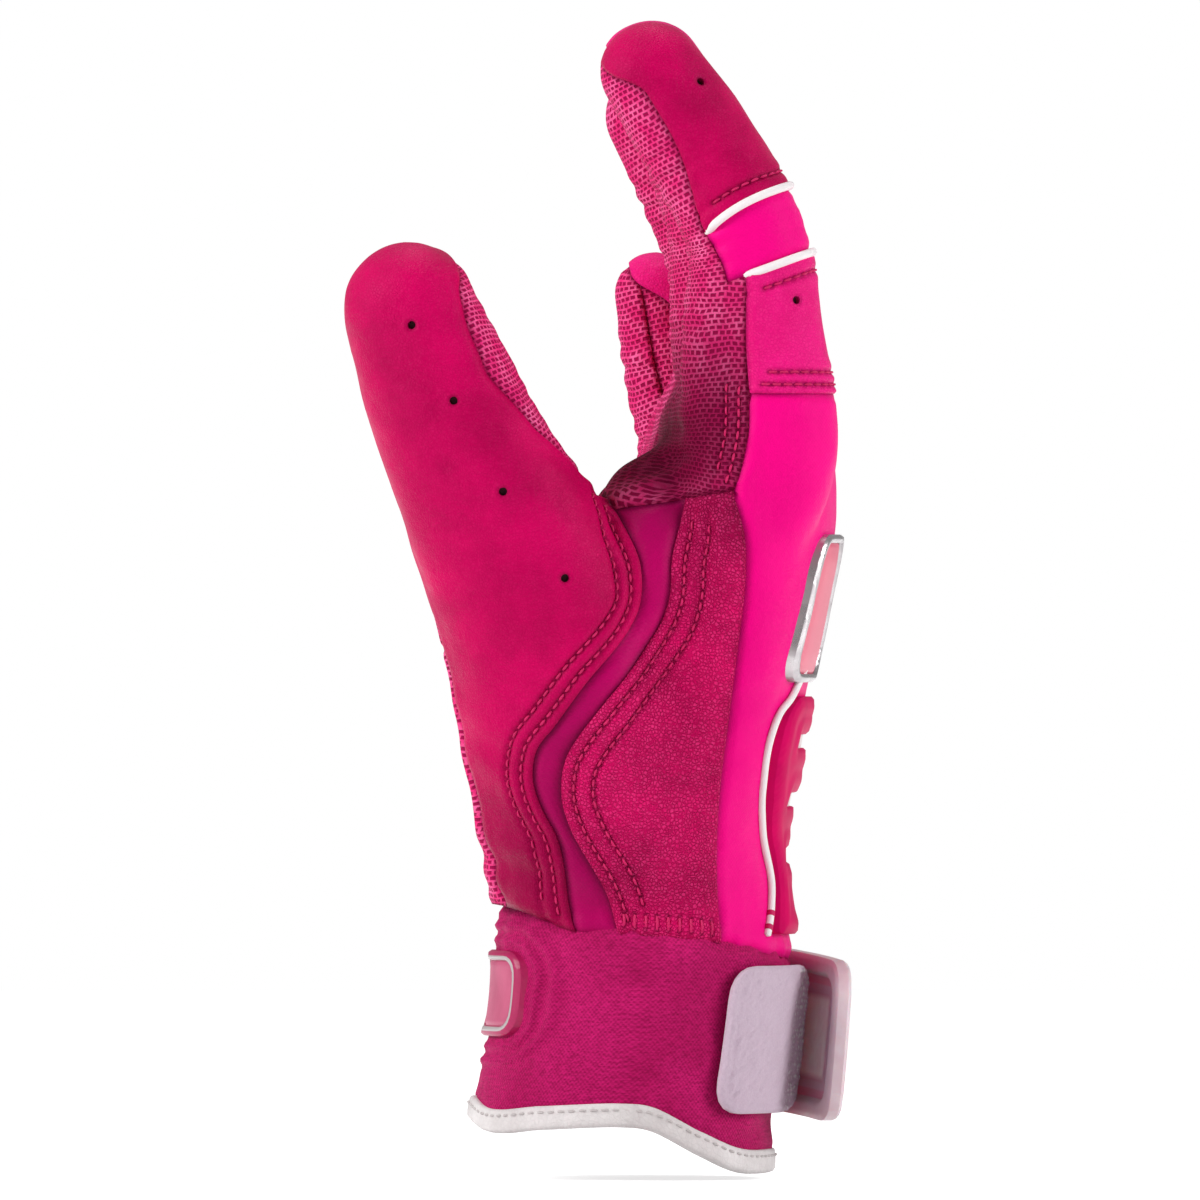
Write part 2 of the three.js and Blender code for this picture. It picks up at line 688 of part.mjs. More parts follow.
const thumbBack = takePanel((grow) => {
    const edge = moved(thumbRightEdge, grow);
    const top = [[-farAway, 2 * farAway], [edge[0][0], 2 * farAway]];
    const left = prismAlongY([...top, ...edge, [-farAway, 0]], -farAway, farAway);
    return left.intersect(thumbBackHalf(grow));
});
addNode('thumb_back', thumbBack.subtract(thumbVents), leather);

const thumbFrontShare = 0.1;
const thumbFrontStart = thumbBelow - thumbProximalLength * thumbFrontShare;
const thumbFront = takePanel((grow) => digitBlock(thumb, thumbFrontStart, thumbJointAt,
    (size) => [-size.halfDepth - seamGap, size.halfDepth * thumbSeamShare],
    (size) => [-size.halfWidth - seamGap, size.halfWidth + seamGap], grow));
addNode('thumb_front', thumbFront, gripLeather);

// The grained wrap of the palm on the thumb side, and the stretch gusset beside it
const palmWrap = takePanel((grow) => prismAlongY(
    stripBetween(wrapLeftEdge, wrapRightEdge, grow), -farAway, -wrapReach + grow));
addNode('palm_wrap', palmWrap, grainLeather);

const thumbGusset = takePanel((grow) => prismAlongY(
    stripBetween(thumbRightEdge, wrapLeftEdge, grow), -farAway, -wrapReach + grow));
addNode('thumb_gusset', thumbGusset, gussetCloth);

// How far along a digit it reaches a height
function distanceAtHeight(digit, height) {
    let [low, high] = [0, digit.length];
    for (let i = 0; i < 30; i++) {
        const distance = (low + high) / 2;
        if (digitFrame(digit, distance).point.z < height) low = distance;
        else high = distance;
    }
    return low;
}

// Side walls between the fingers, joined across the web
const wallShares = { reach: 0.55, drop: 0.3 };
const wallReach = fingerPitch * wallShares.reach;
const wallDrop = webDepth * wallShares.drop;

for (let i = 0; i < 3; i++) {
    const across = (digits[i].joints[1].y + digits[i + 1].joints[1].y) / handBreadth;
    const webHeight = tableRow(webLineShares, across)[1] * knuckleHeight;
    const pair = [[digits[i], 1], [digits[i + 1], -1]];
    const walls = takePanel((grow) => unite(pair.map(([digit, sign]) => {
        const { front, back, side } = fourchetteShares;
        const depths = (size) => [size.halfDepth * front, size.halfDepth * back];
        const sides = (size) => {
            const near = sign * size.halfWidth * side;
            return sign > 0 ? [near, wallReach] : [-wallReach, near];
        };
        const from = distanceAtHeight(digit, webHeight - wallDrop);
        return digitBlock(digit, from, digit.distances[3], depths, sides, grow);
    })));
    addNode(`fourchette_${digits[i].name}_${digits[i + 1].name}`, walls, stretchCloth);
}

// Leather over the back of each finger between its knuckle and the lower piping
const baseSeamShare = -0.264;

for (const digit of digits) {
    const { finger, distances } = digit;
    const from = THREE.MathUtils.lerp(distances[1], distances[3], finger.base);
    const sides = () => [-fingerPitch / 2, fingerPitch / 2];
    const panel = takePanel((grow) => digitBlock(digit, from, distances[3],
        (size) => [size.halfDepth * baseSeamShare, size.halfDepth + overrun], sides, grow));
    const ventAt = THREE.MathUtils.lerp(distances[1], distances[3], ventShares.base);
    const vent = ventHole(digit, ventAt, radians(ventAngleDegrees));
    addNode(`${finger.name}_base_back`, panel.subtract(vent), leather);
}

// Stretch fabric over the back of the hand; what is left is the palm
const handBack = takePanel((grow) => {
    const edge = moved([[wrapRightEdge[0][0], 2 * farAway], ...wrapRightEdge], -grow);
    const ulnarEdge = edge.map(([x, z]) => [x - handSection(z).arch, z]);
    const close = (line) => [...line, [farAway, 0], [farAway, 2 * farAway]];
    return prismAlongY(close(edge), -farAway, 0).add(prismAlongY(close(ulnarEdge), -seamGap, farAway));
});
addNode('hand_back', handBack, stretchCloth);
addNode('palm', skin, gripLeather);

// Seen from the back of the hand, half widths of the moulded wrist panel as shares of handBreadth
// against heights as shares of knuckleHeight
const panelEdgeShares = [
    [0.332, 0.21], [0.378, 0.17], [0.411, 0.16], [0.476, 0.222], [0.532, 0.285], [0.6, 0.325],
    [0.64, 0.318], [0.662, 0.27],
];
const slotHeightShares = [0.441, 0.519, 0.6];
const slotWidthShare = 0.66;
const slotCornerShare = 0.45;
const pipingSeat = seamGap + handPipingRadius * 0.4;

function panelHalfWidth(height) {
    return tableRow(panelEdgeShares, height / knuckleHeight)[1] * handBreadth;
}

function panelOutline(grow) {
    const edge = panelEdgeShares.map(([height, half], i) => {
        const end = i === 0 ? -grow : (i === panelEdgeShares.length - 1 ? grow : 0);
        return [half * handBreadth + grow, height * knuckleHeight + end];
    });
    return [...edge, ...edge.map(([y, z]) => [-y, z]).reverse()];
}

// A plate of the given outline that follows the back of the hand
function plateOnHand(shape, low, high) {
    const layer = handSolid(high, high).subtract(handSolid(low, low));
    return layer.intersect(extrudeAlongX(shape, handSection(0).back, farAway));
}

function outlineShape(points) {
    return new THREE.Shape(points.map((point) => new THREE.Vector2(...point)));
}

function roundedRect(width, height, radius, across, up) {
    const [x, y] = [across - width / 2, up - height / 2];
    const shape = new THREE.Shape();
    shape.moveTo(x + radius, y);
    shape.lineTo(x + width - radius, y);
    shape.absarc(x + width - radius, y + radius, radius, -Math.PI / 2, 0);
    shape.lineTo(x + width, y + height - radius);
    shape.absarc(x + width - radius, y + height - radius, radius, 0, Math.PI / 2);
    shape.lineTo(x + radius, y + height);
    shape.absarc(x + radius, y + height - radius, radius, Math.PI / 2, Math.PI);
    shape.lineTo(x, y + radius);
    shape.absarc(x + radius, y + radius, radius, Math.PI, 1.5 * Math.PI);
    return shape;
}

const underlayTop = seamGap + underlayThickness;
const underlay = plateOnHand(outlineShape(panelOutline(-panelThickness)), seamGap, underlayTop);
addNode('wrist_underlay', underlay, whiteCloth);

const slots = unite(slotHeightShares.map((share) => {
    const up = share * knuckleHeight;
    const width = 2 * slotWidthShare * panelHalfWidth(up);
    return extrudeAlongX(roundedRect(width, slotHeight, slotHeight * slotCornerShare, 0, up), 0, farAway);
}));
const panelLow = underlayTop + seamGap;
const panel = plateOnHand(outlineShape(panelOutline(0)), panelLow, panelLow + panelThickness);
addNode('wrist_panel', panel.subtract(slots), pinkRubber);

for (const [name, side] of [['radial', -1], ['ulnar', 1]]) {
    const points = panelEdgeShares.map(([height]) => {
        const up = height * knuckleHeight;
        const across = side * (panelHalfWidth(up) + handPipingRadius + seamGap + pipingSeat);
        return backOfHand(across, up, handPipingRadius + seamGap);
    });
    addNode(`${name}_back_piping`, cord(points, handPipingRadius).subtract(outerForm), whitePiping);
}

// Badge on the back of the hand: a raised frame round a bare plate
const badgeAcrossShare = -0.2;
const badgeClearance = 2.3;
const panelTop = panelEdgeShares[panelEdgeShares.length - 1][0] * knuckleHeight;
const badgeCentre = panelTop + badgeClearance + badgeHeight / 2;
const plateShare = 0.58;
const badgeOutlineShares = [
    [-0.36, 0.5], [0.36, 0.5], [0.45, 0.3], [0.5, -0.36], [0.42, -0.5], [-0.42, -0.5], [-0.5, -0.36],
    [-0.45, 0.3],
];

function badgeOutline(inset) {
    return outlineShape(badgeOutlineShares.map(([across, up]) => [
        badgeAcrossShare * handBreadth + across * (badgeWidth - 2 * inset),
        badgeCentre + up * (badgeHeight - 2 * inset)]).reverse());
}

const badgeBase = plateOnHand(badgeOutline(0), seamGap, seamGap + badgeThickness).subtract(outerForm);
const badgeWindow = extrudeAlongX(badgeOutline(badgeRim), 0, farAway);
addNode('badge_frame', badgeBase.subtract(badgeWindow), brightTrim);
const badgePlateTop = seamGap + badgeThickness * plateShare;
const badgeInsert = plateOnHand(badgeOutline(badgeRim + seamGap), seamGap, badgePlateTop);
addNode('badge_insert', badgeInsert.subtract(outerForm), pinkPlate);

// Cuff sections from the bottom up: height of knuckleHeight, centre to the back of handBreadth,
// half depth of handDepth, half breadth of handBreadth
const cuffSectionShares = [
    [-0.03, 0, 0.93, 0.37],
    [0.09, 0, 0.925, 0.37],
    [0.165, 0.022, 0.905, 0.368],
    [0.24, 0.039, 0.898, 0.37],
    [0.33, 0.05, 0.905, 0.371],
    [0.39, 0.055, 0.89, 0.373],
];

function wristPoint(angle, height, offset) {
    const [, back, depth, breadth] = tableRow(cuffSectionShares, height / knuckleHeight);
    const x = roundPower(Math.cos(angle), sectionRoundnessShare) * (depth * handDepth + offset);
    const y = roundPower(Math.sin(angle), sectionRoundnessShare) * (breadth * handBreadth + offset);
    return new THREE.Vector3(back * handBreadth + x, y, height);
}

function cuffForm(offset) {
    return loft(cuffSectionShares.map(([share]) => {
        const ring = [];
        for (let i = 0; i < 2 * halfHandSides; i++) {
            ring.push(wristPoint(Math.PI * i / halfHandSides, share * knuckleHeight, offset));
        }
        return ring;
    }));
}

// Bottom edge of the cuff from the side: it dips to the back of the wrist
const cuffEdgeShares = [
    [-0.36, 0.081], [-0.3, 0.058], [-0.185, 0.062], [0, 0.066], [0.064, 0.061], [0.177, 0.026],
    [0.267, 0.002], [0.347, 0],
];
const cuffEdge = sidePoints(cuffEdgeShares);

function cuffBetween(low, high, outside, inside) {
    const wall = cuffForm(outside).subtract(cuffForm(-inside));
    const above = prismAlongY(aboveLine(cuffEdge, low), -farAway, farAway);
    return wall.intersect(above).subtract(high);
}

const aboveSeam = prismAlongY(aboveLine(wristSeam, -seamGap / 2), -farAway, farAway);
const aboveBinding = prismAlongY(aboveLine(cuffEdge, bindingHeight), -farAway, farAway);
const cuffInside = cuffThickness - cuffProud;
const cuff = cuffBetween(bindingHeight + seamGap, aboveSeam, cuffProud, cuffInside);
addNode('cuff', cuff, knit);
const binding = cuffBetween(0, aboveBinding, cuffProud + bindingProud, cuffInside + bindingProud);
addNode('cuff_binding', binding, bindingTape);

// Patch on the palm side of the cuff: a frame round a bare plate
const patchAcrossShare = -0.075;
const patchHeightShare = 0.25;
const patchCornerShare = 0.25;

function patchLayer(low, high, inset) {
    const radius = patchHeight * patchCornerShare;
    const shape = roundedRect(patchWidth - 2 * inset, patchHeight - 2 * inset, radius,
        patchAcrossShare * handBreadth, patchHeightShare * knuckleHeight);
    return cuffForm(cuffProud + high).subtract(cuffForm(cuffProud + low))
        .intersect(extrudeAlongX(shape, -farAway, 0));
}

const patchFrame = patchLayer(seamGap, seamGap + patchThickness, 0);
const patchWindow = patchLayer(0, patchThickness + overrun, patchRim);
addNode('patch_frame', patchFrame.subtract(patchWindow), paleTrim);
const patchPlate = patchLayer(seamGap, seamGap + patchThickness * plateShare, patchRim + seamGap);
addNode('patch_insert', patchPlate, pinkPlate);

// A band round the wrist: angles are 0 at the back and 90 degrees on the little-finger side
function wristBand(fromDegrees, toDegrees, steps, edges, inner, thickness) {
    const rings = [];
    for (let i = 0; i <= steps; i++) {
        const degrees = THREE.MathUtils.lerp(fromDegrees, toDegrees, i / steps);
        const [low, high] = edges(degrees);
        const [atLow, atHigh] = [0, 1].map((end) => cuffProud + inner(degrees, end));
        const corners = [
            [low, atLow], [high, atHigh], [high, atHigh + thickness], [low, atLow + thickness]];
        rings.push(corners.map(([height, out]) => wristPoint(radians(degrees), height, out)));
    }
    return loft(rings);
}

const cornerShare = 0.98;

// How far a rounded corner draws an edge in, at a distance from the end of a band
function cornerInset(distance, radius) {
    const short = THREE.MathUtils.clamp(radius - distance, 0, radius * cornerShare);
    return radius - Math.sqrt(radius * radius - short * short);
}

const closureShares = {
    tabLow: 0.084, tabHigh: 0.289, strapLow: 0.09, strapHigh: 0.313, strapDrop: 0.0144, wristRadius: 0.36,
};
const strapRootDegrees = 74;
const strapLiftDegrees = 36;
const strapEndDegrees = -19;
const pocketEndDegrees = -12;
const pocketStartDegrees = 30;
const tabRootDegrees = 6;
const tabRampDegrees = 12;
const tabEndDegrees = -58;
const padEndDegrees = -55;
const padStartDegrees = -4;
const wristRadius = handBreadth * closureShares.wristRadius;

function arcBetween(degrees, endDegrees) {
    return wristRadius * radians(Math.abs(degrees - endDegrees));
}

// How far the strap stands off the cuff: end is 0 at its lower edge and 1 at its upper edge
function strapLiftAt(degrees, end) {
    const span = strapLiftDegrees - strapEndDegrees;
    const share = THREE.MathUtils.clamp((strapLiftDegrees - degrees) / span, 0, 1);
    return seamGap + (strapStandOff + (1 - end) * strapFlare) * share ** 1.5;
}

function strapEdges(degrees, inset) {
    const start = strapLiftDegrees;
    const share = THREE.MathUtils.clamp((start - degrees) / start, 0, 2);
    const drop = closureShares.strapDrop * knuckleHeight * share;
    const corner = cornerInset(arcBetween(degrees, strapEndDegrees), strapCornerRadius);
    return [closureShares.strapLow * knuckleHeight - drop + corner + inset,
        closureShares.strapHigh * knuckleHeight - drop - corner - inset];
}

const padOffset = seamGap + loopPadThickness;

function tabLiftAt(degrees, end) {
    const start = strapLiftAt(tabRootDegrees, end) - seamGap - hookTabThickness;
    const share = THREE.MathUtils.clamp((tabRootDegrees - degrees) / tabRampDegrees, 0, 1);
    return THREE.MathUtils.lerp(start, padOffset + seamGap, share);
}

function tabEdges(degrees) {
    const corner = cornerInset(arcBetween(degrees, tabEndDegrees), tabCornerRadius);
    return [closureShares.tabLow * knuckleHeight + corner,
        closureShares.tabHigh * knuckleHeight - corner];
}

const loopPad = wristBand(padEndDegrees, padStartDegrees, 8,
    (degrees) => tabEdges(degrees).map((edge, k) => edge + (k ? -padInset : padInset)),
    () => seamGap, loopPadThickness);
addNode('loop_pad', loopPad, loopTape);

const hookTab = wristBand(tabEndDegrees, tabRootDegrees, 14,
    tabEdges, tabLiftAt, hookTabThickness);
addNode('hook_tab', hookTab, hookTape);

const strapBody = wristBand(strapEndDegrees, strapRootDegrees, 18,
    (degrees) => strapEdges(degrees, 0), strapLiftAt, strapThickness);
const strapPocket = wristBand(pocketEndDegrees, pocketStartDegrees, 6,
    (degrees) => strapEdges(degrees, strapRimWidth),
    (degrees, end) => strapLiftAt(degrees, end) - overrun, overrun + strapPocketDepth);
addNode('strap', strapBody.subtract(strapPocket), clearRubber);

export default group;
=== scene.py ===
"""Leather, cloth and trim of a right-hand batting glove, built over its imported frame.

Sizes inside the functions are millimetres in the frame's axes: +X is the back of the hand,
-X the palm, -Y the thumb side, +Z the fingertips. Meshes are written in metres.
"""

import math

import bpy
import numpy as np
from bpy.props import FloatProperty, FloatVectorProperty, PointerProperty
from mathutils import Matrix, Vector
from mathutils.kdtree import KDTree


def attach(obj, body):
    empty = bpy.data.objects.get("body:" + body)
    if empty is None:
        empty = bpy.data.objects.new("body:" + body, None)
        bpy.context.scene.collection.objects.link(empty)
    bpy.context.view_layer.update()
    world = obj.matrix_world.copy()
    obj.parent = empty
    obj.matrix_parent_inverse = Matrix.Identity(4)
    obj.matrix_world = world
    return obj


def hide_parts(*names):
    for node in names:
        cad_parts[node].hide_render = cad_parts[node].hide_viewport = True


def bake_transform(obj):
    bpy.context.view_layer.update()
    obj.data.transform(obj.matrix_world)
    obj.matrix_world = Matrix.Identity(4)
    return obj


bl_info = {
    "name": "Batting glove",
    "version": (1, 0, 0),
    "blender": (4, 5, 0),
    "location": "3D View > Sidebar > Glove",
    "description": "Sews the panels, piping, cuff and closure of a batting glove over its frame",
    "category": "Object",
}

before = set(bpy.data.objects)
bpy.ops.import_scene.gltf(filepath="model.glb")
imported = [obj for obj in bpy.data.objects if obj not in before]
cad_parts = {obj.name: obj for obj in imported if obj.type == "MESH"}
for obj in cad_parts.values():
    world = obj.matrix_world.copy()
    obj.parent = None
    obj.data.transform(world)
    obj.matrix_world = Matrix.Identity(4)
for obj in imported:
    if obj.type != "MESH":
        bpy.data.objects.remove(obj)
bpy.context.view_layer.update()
METRE = 0.001

# The form of the glove, as shares of the sizes below: they match the solids of the frame
ROUNDNESS = 2.3
HAND_SECTION_SHARES = [
    [0.22, 0.043, 0.917, 0.37, 0], [0.33, 0.047, 0.903, 0.366, 0],
    [0.39, 0.052, 0.85, 0.366, 0.05], [0.46, 0.072, 0.77, 0.386, 0.15],
    [0.555, 0.148, 0.64, 0.418, 0.35],
    [0.65, 0.215, 0.53, 0.445, 0.55], [0.79, 0.263, 0.527, 0.48, 0.9],
    [0.9, 0.262, 0.62, 0.495, 1], [1.02, 0.278, 0.55, 0.497, 1], [1.17, 0.289, 0.333, 0.492, 1],
]
WEB_LINE_SHARES = [
    [-1.3, 1.0], [-1, 1.02], [-0.74, 1.08], [-0.49, 1.133], [-0.24, 1.14], [0, 1.145],
    [0.24, 1.13], [0.38, 1.06], [0.49, 0.985], [0.72, 0.93], [1, 0.86], [1.3, 0.84],
]
FINGER_SHARES = [
    {"name": "index", "row": -1.49, "height": 1, "back": 0.308, "size": 1, "base": 0.28,
     "bones": [0.988, 0.445, 0.465], "lean": [3.2, 26, 32]},
    {"name": "middle", "row": -0.49, "height": 1.015, "back": 0.307, "size": 1, "base": 0.04,
     "bones": [1, 0.445, 0.395], "lean": [8, 20, 32]},
    {"name": "ring", "row": 0.51, "height": 0.992, "back": 0.3, "size": 0.985, "base": 0.08,
     "bones": [0.962, 0.405, 0.338], "lean": [8, 24, 29]},
    {"name": "little", "row": 1.46, "height": 0.83, "back": 0.205, "size": 0.85, "base": 0.18,
     "bones": [0.688, 0.37, 0.29], "lean": [9, 14, 12]},
]
FINGER_SECTIONS = [(21, 17), (29.4, 21.4), (26.6, 20.4), (22.8, 19.5), (21.2, 18.2), (18.8, 16.6)]
THUMB_ROOT_SHARE = (0.018, -0.075, 0.24)
THUMB_BONES = (18, 62, 38, 22.4)
THUMB_LEAN = (4, 15.6, 24.6, 21.4)
THUMB_SIDE_LEAN = (20, 16.5, 9, 0)
THUMB_FACING = 14
THUMB_SECTIONS = [(33, 48.5), (33, 48.5), (31, 38.8), (24.5, 29.8), (22, 25)]
THUMB_WEB_SHARE = (0.07, -0.27, 0.84)
THUMB_WEB_SIZE = (27, 36, 42)
CUFF_SECTION_SHARES = [
    [-0.03, 0, 0.93, 0.37], [0.09, 0, 0.925, 0.37], [0.165, 0.022, 0.905, 0.368],
    [0.24, 0.039, 0.898, 0.37], [0.33, 0.05, 0.905, 0.371], [0.39, 0.055, 0.89, 0.373],
]

# Seams in the side view: shares of the hand's breadth to the back and of the knuckle's height up
WRIST_SEAM_SHARES = [[-0.5, 0.38], [-0.276, 0.372], [-0.106, 0.337], [-0.005, 0.334],
                     [0.234, 0.32], [0.396, 0.296], [0.6, 0.28]]
CUFF_EDGE_SHARES = [[-0.5, 0.081], [-0.36, 0.081], [-0.3, 0.058], [-0.185, 0.062], [0, 0.066],
                    [0.064, 0.061], [0.177, 0.026], [0.267, 0.002], [0.347, 0], [0.5, 0]]
THUMB_RIGHT_EDGE_SHARES = [
    [-0.054, 0.958], [0.002, 0.901], [0.039, 0.851], [0.045, 0.808], [0.036, 0.78],
    [0.009, 0.748], [-0.025, 0.721], [-0.077, 0.684], [-0.118, 0.65], [-0.156, 0.618],
    [-0.19, 0.592], [-0.202, 0.56], [-0.197, 0.533], [-0.177, 0.501], [-0.149, 0.469],
    [-0.134, 0.436], [-0.127, 0.404], [-0.12, 0.372], [-0.095, 0.309],
]
WRAP_LEFT_EDGE_SHARES = [
    [0.152, 0.965], [0.131, 0.902], [0.113, 0.852], [0.109, 0.805], [0.091, 0.767],
    [0.052, 0.728], [0.009, 0.689], [-0.043, 0.65], [-0.093, 0.611], [-0.125, 0.579],
    [-0.136, 0.547], [-0.134, 0.514], [-0.113, 0.475], [-0.091, 0.45], [-0.063, 0.421],
    [-0.036, 0.391], [-0.009, 0.337],
]
WRAP_RIGHT_EDGE_SHARES = [
    [0.285, 1.083], [0.283, 1.024], [0.265, 0.972], [0.251, 0.944], [0.26, 0.922], [0.274, 0.891],
    [0.279, 0.852], [0.274, 0.797], [0.263, 0.742], [0.242, 0.638], [0.22, 0.528], [0.213, 0.43],
    [0.217, 0.372], [0.227, 0.309],
]
WRAP_TOP_SHARE = 0.937
WRAP_REACH_SHARE = 0.2
FINGER_SEAM_SHARE = -0.33
BASE_SEAM_SHARE = -0.1
WALL_SHARES = {"front": -0.36, "back": 0.42, "side": 0.5, "drop": 0.3}
ZONE_ABOVE, ZONE_BELOW = 7.0, 6.0
BLEND_REACH = {"index": (11.5, 11.5), "middle": (11.5, 11.5), "ring": (11.3, 11.3),
               "little": (6.5, 9.8), "thumb": (11.5, 11.5)}
THUMB_GRIP_START = 76.0
PATH_STEPS = 60


def size(name, description, metres):
    return FloatProperty(name=name, description=description, default=metres, unit="LENGTH")


class GloveSizes(bpy.types.PropertyGroup):
    knuckle_height: size("Knuckle height", "From the cuff's bottom to the index knuckle", 0.135)
    hand_breadth: size("Hand breadth", "Across the knuckles", 0.083)
    hand_depth: size("Hand depth", "Front to back at the wrist", 0.03)
    ulnar_drop: size("Arch", "How far the little finger's side drops to the palm", 0.012)
    finger_pitch: size("Finger pitch", "Between neighbouring fingers", 0.0205)
    finger_bone: size("Finger bone", "Middle finger from knuckle to middle joint", 0.04)
    voxel: size("Skin detail", "Spacing of the first skin mesh", 0.00095)
    seam_detail: size("Seam detail", "Spacing of the mesh beside seams", 0.00055)
    stitch_pitch: size("Stitch pitch", "From one stitch to the next", 0.0021)
    stitch_radius: size("Thread radius", "Half the thickness of the sewing thread", 0.00022)
    piping_radius: size("Finger cord radius", "Half the thickness of the finger cords", 0.0008)
    hand_piping_radius: size("Hand cord radius", "Half the thickness of the wrist's cords", 0.0007)


def mm(name):
    """A size of the property group in millimetres"""
    return getattr(bpy.context.scene.glove_sizes, name) / METRE


# Curves and tables


def centripetal(points, steps):
    """A smooth curve through points, with the given steps between neighbours"""
    points = np.array(points, float)
    padded = np.vstack([2 * points[0] - points[1], points, 2 * points[-1] - points[-2]])
    gap = np.sqrt(np.linalg.norm(np.diff(padded, axis=0), axis=1))[:, None]
    p0, p1, p2, p3 = padded[:-3], padded[1:-2], padded[2:-1], padded[3:]
    g0, g1, g2 = gap[:-2], gap[1:-1], gap[2:]
    m1 = g1 * ((p1 - p0) / g0 - (p2 - p0) / (g0 + g1) + (p2 - p1) / g1)
    m2 = g1 * ((p2 - p1) / g1 - (p3 - p1) / (g1 + g2) + (p3 - p2) / g2)
    t = (np.arange(steps) / steps)[None, :, None]
    p1, p2, m1, m2 = (v[:, None, :] for v in (p1, p2, m1, m2))
    curve = p1 + m1 * t + (3 * (p2 - p1) - 2 * m1 - m2) * t**2 + (2 * (p1 - p2) + m1 + m2) * t**3
    return np.vstack([curve.reshape(-1, points.shape[1]), points[-1:]])


def smooth_row(table, place):
    """The values of a table of [place, value, ...] rows at places, smooth from row to row"""
    table = np.array(table, float)
    x, y = table[:, 0], table[:, 1:]
    slope = np.gradient(y, x, axis=0)
    place = np.clip(np.atleast_1d(np.asarray(place, float)), x[0], x[-1])
    i = np.clip(np.searchsorted(x, place, side="right") - 1, 0, len(x) - 2)
    h = (x[i + 1] - x[i])[:, None]
    t = ((place - x[i])[:, None]) / h
    rise = y[i + 1] - y[i]
    m0, m1 = slope[i] * h, slope[i + 1] * h
    return y[i] + m0 * t + (3 * rise - 2 * m0 - m1) * t**2 + (m0 + m1 - 2 * rise) * t**3


def arc_lengths(line):
    return np.concatenate([[0], np.cumsum(np.linalg.norm(np.diff(line, axis=0), axis=1))])


def along_line(line, arc, places):
    """The values of a line at places along its arc"""
    return np.stack([np.interp(places, arc, line[:, k]) for k in range(3)], -1)


def smooth_step(value, low, high):
    t = np.clip((value - low) / (high - low), 0, 1)
    return t * t * (3 - 2 * t)


def bump(distance, width):
    return np.exp(-((distance / width) ** 2))


def waves(points, wavelength, seed, count=9):
    """Soft noise between about -1 and 1: a sum of waves in random directions"""
    random = np.random.default_rng(seed)
    ways = random.normal(size=(count, 3))
    ways /= np.linalg.norm(ways, axis=1)[:, None]
    ways *= 2 * math.pi / wavelength * random.uniform(0.7, 1.4, (count, 1))
    phases = random.uniform(0, 2 * math.pi, count)
    return np.sin(points @ ways.T + phases).sum(1) / math.sqrt(count) / 0.9


def ripples(place, points, wobble, wavelength, seed, period):
    """Waves of one period over places, bent by soft noise"""
    return np.sin(2 * math.pi * (place + wobble * waves(points, wavelength, seed)) / period)


def round_power(value):
    return np.sign(value) * np.abs(value) ** (2 / ROUNDNESS)


# The hand, the digits and the wrist


def placed(share):
    """A point given as shares of the hand's breadth and the knuckle's height"""
    return np.array(share) * [mm("hand_breadth"), mm("hand_breadth"), mm("knuckle_height")]


def hand_section(height):
    """Centre to the back, half depth, half breadth and arch of the hand at heights"""
    row = smooth_row(HAND_SECTION_SHARES, np.asarray(height) / mm("knuckle_height"))
    scales = [mm("hand_breadth"), mm("hand_depth"), mm("hand_breadth"), mm("ulnar_drop")]
    return (row * scales).T


def hand_point(angle, height, offset=0.0):
    back, depth, breadth, arch = hand_section(height)
    x = round_power(np.cos(angle)) * (depth + offset)
    y = round_power(np.sin(angle)) * (breadth + offset)
    x = back + x - arch * np.maximum(0, y / breadth) ** 1.5
    return np.stack([x, y, np.broadcast_to(height, x.shape)], -1)


def back_of_hand(across, height, offset):
    """Points on the back of the hand at places across and heights, grown outward by offset"""
    back, depth, breadth, arch = hand_section(height)
    share = np.minimum(1, np.abs(across) / (breadth + offset))
    rise = (1 - share**ROUNDNESS) ** (1 / ROUNDNESS)
    x = back + (depth + offset) * rise - arch * np.maximum(0, across / breadth) ** 1.5
    return np.stack([x, across, height], -1)


def cuff_section(height):
    """Centre to the back, half depth and half breadth of the wrist at heights"""
    row = smooth_row(CUFF_SECTION_SHARES, np.asarray(height) / mm("knuckle_height"))
    return (row * [mm("hand_breadth"), mm("hand_depth"), mm("hand_breadth")]).T


def wrist_point(angle, height, offset):
    back, depth, breadth = cuff_section(height)
    x = back + round_power(np.cos(angle)) * (depth + offset)
    y = round_power(np.sin(angle)) * (breadth + offset)
    return np.stack([x, y, height], -1)


def walk(start, lengths, leans, side_leans):
    joints = [np.array(start, float)]
    for length, lean, side in zip(lengths, np.radians(leans), np.radians(side_leans)):
        bone = [-math.sin(lean) * math.cos(side), -math.sin(side), math.cos(lean) * math.cos(side)]
        joints.append(joints[-1] + length * np.array(bone))
    return joints


